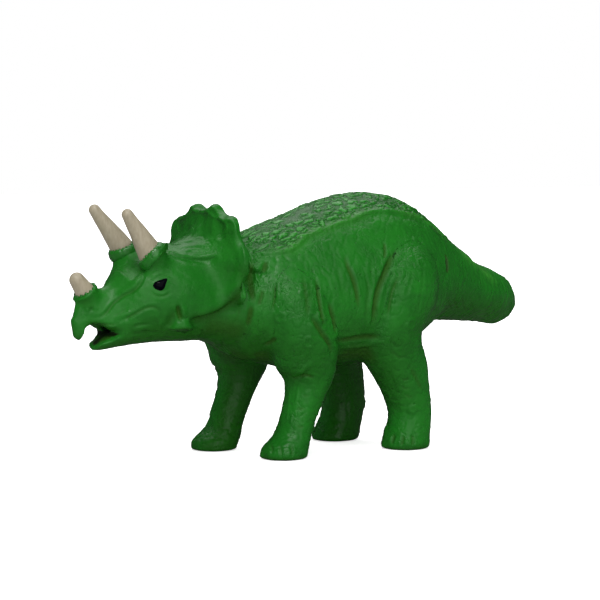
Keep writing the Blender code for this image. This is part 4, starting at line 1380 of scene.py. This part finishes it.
def green_vinyl():
    finish, start = new_finish("green_vinyl")
    place = in_millimetres(start)
    broad = place.noise(0.045, 3.0, 0.55)
    mottle = place.noise(0.22, 3.0, 0.5)
    speck = place.noise(1.1, 2.0, 0.5)
    fold = carried(start, "fold")
    pit = carried(start, "pit")
    band = carried(start, "band")
    underside_and_inner_shade = carried(start, "underside_and_inner_shade")
    plain = (1 - band) * (1 - carried(start, "head_share") * 0.6)

    laid = start.add("ShaderNodeAttribute", {"attribute_name": "laid"}, None, LABEL_VECTOR)
    pebble = laid.cells("DISTANCE_TO_EDGE", 1.0).rise(0.02, 0.24)
    crumb = laid.cells("DISTANCE_TO_EDGE", 2.1).rise(0.02, 0.30)
    patch = place.noise(0.10, 2.0, 0.5).rise(0.42, 0.60)
    worm = 1 - ((place.stretched((0.42, 0.42, 0.34)).noise(1.0, 1.0, 0.3) - 0.5).size() * 15.0).least(1.0)
    curl = 1 - ((place.stretched((0.65, 0.65, 0.65)).noise(1.0, 0.0, 0.0) - 0.5).size() * 12.0).least(1.0)
    dot = place.cells("F1", 0.42)
    picked = place.cells("F1", 0.42, 1)
    picked = picked.add("ShaderNodeSeparateXYZ", None, {0: picked})
    dot = (1 - dot.rise(0.06, 0.17)) * picked.rise(0.5, 0.6)
    lines = (worm * 0.55 + curl * 0.45) * patch * plain

    colour = broad.rise(0.35, 0.65).tinted(paint(20, 93, 20), paint(24, 102, 23))
    colour = (mottle.rise(0.42, 0.72) * 0.40).tinted(colour, paint(14, 83, 16))
    # Painted highlight on the pebble crests of the scaly back, standing in for their sheen.
    colour = (band * pebble * 0.45).tinted(colour, paint(42, 134, 36))
    # Painted shade in the grooves between the pebbles and in the other pits.
    colour = (band * (1 - pebble) * 0.5 + pit * 0.2).tinted(colour, paint(8, 66, 10))
    # Painted shade in the fine grooves and dents of the skin.
    colour = (lines * 0.22).tinted(colour, paint(10, 68, 10))
    colour = (dot * plain * 0.35).tinted(colour, paint(10, 66, 8))
    # Painted shade under the body, on the legs' inner sides and in the creases.
    colour = (underside_and_inner_shade * 0.55).tinted(colour, paint(22, 64, 0))
    colour = (fold.rise(0.05, 0.95) * 0.8).tinted(colour, paint(30, 72, 0))
    # Painted highlight along the crests, partly a lighter paint on the tail's top.
    colour = (carried(start, "pale") * (0.3 + mottle * 0.5)).tinted(colour, paint(66, 140, 48))
    # Deep painted shade in the mouth and the tail's slit.
    colour = (carried(start, "deep") * 0.95).tinted(colour, paint(10, 24, 0))
    colour = (speck.rise(0.64, 0.8) * 0.10).tinted(colour, paint(86, 150, 84))
    rough = 0.38 + (mottle - 0.5) * 0.20 + fold * 0.35 - band * 0.06
    height = place.noise(0.5, 1.0, 0.4) * 0.7 - lines * 1.0 - dot * plain * 1.0
    height = height + band * (pebble * 1.3 + crumb * 0.4)
    bump = start.add("ShaderNodeBump", None, {"Strength": 0.7, "Distance": 0.20 * MM, "Height": height})
    close_finish(start, {
        "Base Color": colour,
        "Roughness": rough,
        "Normal": bump,
        "Specular IOR Level": 0.18,
        "Coat Weight": band * (0.05 + pebble * 0.16) + carried(start, "gloss") * 0.5,
        "Coat Roughness": 0.24,
    })
    return finish


def cream_horn():
    finish, start = new_finish("cream_horn")
    place = in_millimetres(start)
    streak = place.stretched((1.2, 1.2, 0.3)).noise(1.0, 3.0, 0.6)
    paint_tone = place.noise(0.22, 3.0, 0.6)
    speck = place.noise(1.6, 2.0, 0.6)
    colour = streak.rise(0.3, 0.7).tinted(paint(156, 147, 126), paint(144, 134, 112))
    colour = (paint_tone.rise(0.5, 0.75) * 0.5).tinted(colour, paint(136, 129, 106))
    colour = (speck.rise(0.64, 0.78) * 0.3).tinted(colour, paint(124, 118, 96))
    rough = 0.46 + (streak - 0.5) * 0.2
    height = streak + speck * 0.4
    bump = start.add("ShaderNodeBump", None, {"Strength": 0.3, "Distance": 0.12 * MM, "Height": height})
    close_finish(start, {"Base Color": colour, "Roughness": rough, "Normal": bump})
    return finish


def black_gloss():
    finish, start = new_finish("black_gloss")
    place = in_millimetres(start)
    smear = place.noise(0.9, 2.0, 0.5)
    colour = smear.rise(0.3, 0.7).tinted(paint(2, 2, 5), paint(6, 6, 12))
    rough = 0.10 + smear * 0.08
    bump = start.add("ShaderNodeBump", None, {"Strength": 0.15, "Distance": 0.1 * MM, "Height": smear})
    close_finish(start, {
        "Base Color": colour,
        "Roughness": rough,
        "Normal": bump,
        "Specular IOR Level": 0.03,
    })
    return finish


def pale_floor():
    finish, start = new_finish("pale_floor")
    place = in_millimetres(start)
    cloud = place.noise(0.004, 2.0, 0.5)
    seen = start.add("ShaderNodeLightPath", None, None, IN_LIGHT_PATH["camera"])
    mirrored = start.add("ShaderNodeLightPath", None, None, IN_LIGHT_PATH["glossy"])
    other = mirrored.tinted(paint(232, 232, 232), paint(70, 70, 70))
    colour = seen.tinted(other, cloud.tinted(paint(255, 255, 255), paint(252, 252, 252)))
    glow = seen.tinted(paint(0, 0, 0), paint(215, 215, 215))
    close_finish(start, {
        "Base Color": colour,
        "Roughness": 0.8,
        "Emission Color": glow,
        "Emission Strength": 1.0,
    })
    return finish


# The studio


def make_studio():
    sheet = bmesh.new()
    bmesh.ops.create_grid(sheet, x_segments=2, y_segments=2, size=4.0)
    mesh = bpy.data.meshes.new("studio_floor")
    sheet.to_mesh(mesh)
    sheet.free()
    mesh.materials.append(pale_floor())
    linked("studio_floor", mesh)
    bpy.context.scene.view_settings.view_transform = "Standard"
    world = bpy.data.worlds.new("studio")
    bpy.context.scene.world = world
    world.use_nodes = True
    world.node_tree.nodes.clear()
    start = Wire(world.node_tree)
    seen = start.add("ShaderNodeLightPath", None, None, IN_LIGHT_PATH["camera"])
    mirrored = start.add("ShaderNodeLightPath", None, None, IN_LIGHT_PATH["glossy"])
    glow = seen * 0.68 + 0.32 - mirrored * 0.28
    sky = start.add("ShaderNodeBackground", None, {"Color": (1.0, 1.0, 1.0, 1.0), "Strength": glow})
    start.add("ShaderNodeOutputWorld", None, {"Surface": sky})
    for name, place, spread, power in (
        ("key_light", (-0.45, -0.45, 1.0), 16.0, 1.3),
        ("broad_light", (-0.30, -0.85, 0.55), 70.0, 1.7),
        ("back_light", (0.25, 0.42, 0.9), 55.0, 1.3),
    ):
        lamp = bpy.data.lights.new(name, "SUN")
        lamp.energy = power
        lamp.angle = math.radians(spread)
        light = bpy.data.objects.new(name, lamp)
        light.location = place
        light.rotation_euler = (-Vector(place)).to_track_quat("-Z", "Y").to_euler()
        bpy.context.scene.collection.objects.link(light)


def dress(piece, slot, *nodes):
    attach(piece, "root")
    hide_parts(*nodes)


def make_figure():
    green = green_vinyl()
    cream = cream_horn()
    black = black_gloss()
    skin = join_mouldings()
    skin.data.materials.append(green)
    clay = Clay(skin)
    detailed = np.isin(clay.moulding, HEAD_AND_JAW)
    firm = clay.softened(detailed, 6)
    clay.points -= clay.normals * SWELL * 0.78
    clay.settle()
    clay.smooth(5, 0.5)
    clay.smooth(45, 0.5 * (1 - np.clip(firm * 1.5, 0, 1)))
    shape_collars(clay)
    lean_far_leg(clay)
    blend_mouldings(clay)
    follow_outline(clay)
    shape_big_forms(clay)
    shape_frill(clay)
    shape_creases(clay)
    clay.smooth(1, 0.3)
    eyes = {name: drop_eye(name, clay, side, black) for name, side in (("eye_left", -1), ("eye_right", 1))}
    for line in clay.both(EYE_OUTLINE):
        clay.quiet(line, 1.5 * MM)
    mark_regions(clay)
    tree, identifiers = relief_tree()
    shaped_by(skin, tree, identifiers, {
        "Pebble length": 4.4,
        "Pebble width": 1.9,
        "Pebble height": 0.45,
        "Rosette spacing": 8.0,
        "Rosette height": 0.28,
        "Ring spacing": 2.3,
        "Ring height": 0.25,
        "Wrinkle height": 0.16,
        "Pimple height": 0.12,
        "Lump height": 0.20,
        "Grain height": 0.10,
        "Finish": green,
    })
    nubs = [
        nub_ring("brow_horn_left", 24, 0.42 * MM, 0.60 * MM, 1.0 * MM, 0.25 * MM, 3, green),
        nub_ring("brow_horn_right", 24, 0.42 * MM, 0.60 * MM, 1.0 * MM, 0.25 * MM, 4, green),
        collar_roll("brow_horn_left", 0.25, 0.85, 0.3, green),
        collar_roll("brow_horn_right", 0.25, 0.85, 0.3, green),
        nub_ring("nose_horn", 13, 0.55 * MM, 0.7 * MM, 0.6 * MM, 0.1 * MM, 5, green),
    ]
    for name, piece in part_mouldings(clay, {"head": nubs}).items():
        dress(piece, "green_skin", name)
    for name, tip, base, longer, ahead in (
        ("brow_horn_left", 1.85, 4.35, -1.2, 0.0),
        ("brow_horn_right", 1.85, 4.1, 0.1, 0.8),
        ("nose_horn", 2.45, 3.4, 0.2, 0.0),
    ):
        lean = (-ahead * MM, 0.0, 0.0)
        horn = turned_horn(name + "_cream", name, tip * MM, base * MM, longer * MM, lean, cream)
        dress(horn, "horn_cream", name)
    for name, piece in eyes.items():
        piece.name = name + "_gloss"
        dress(piece, "eye_black", name)


make_camera()
make_figure()
make_studio()
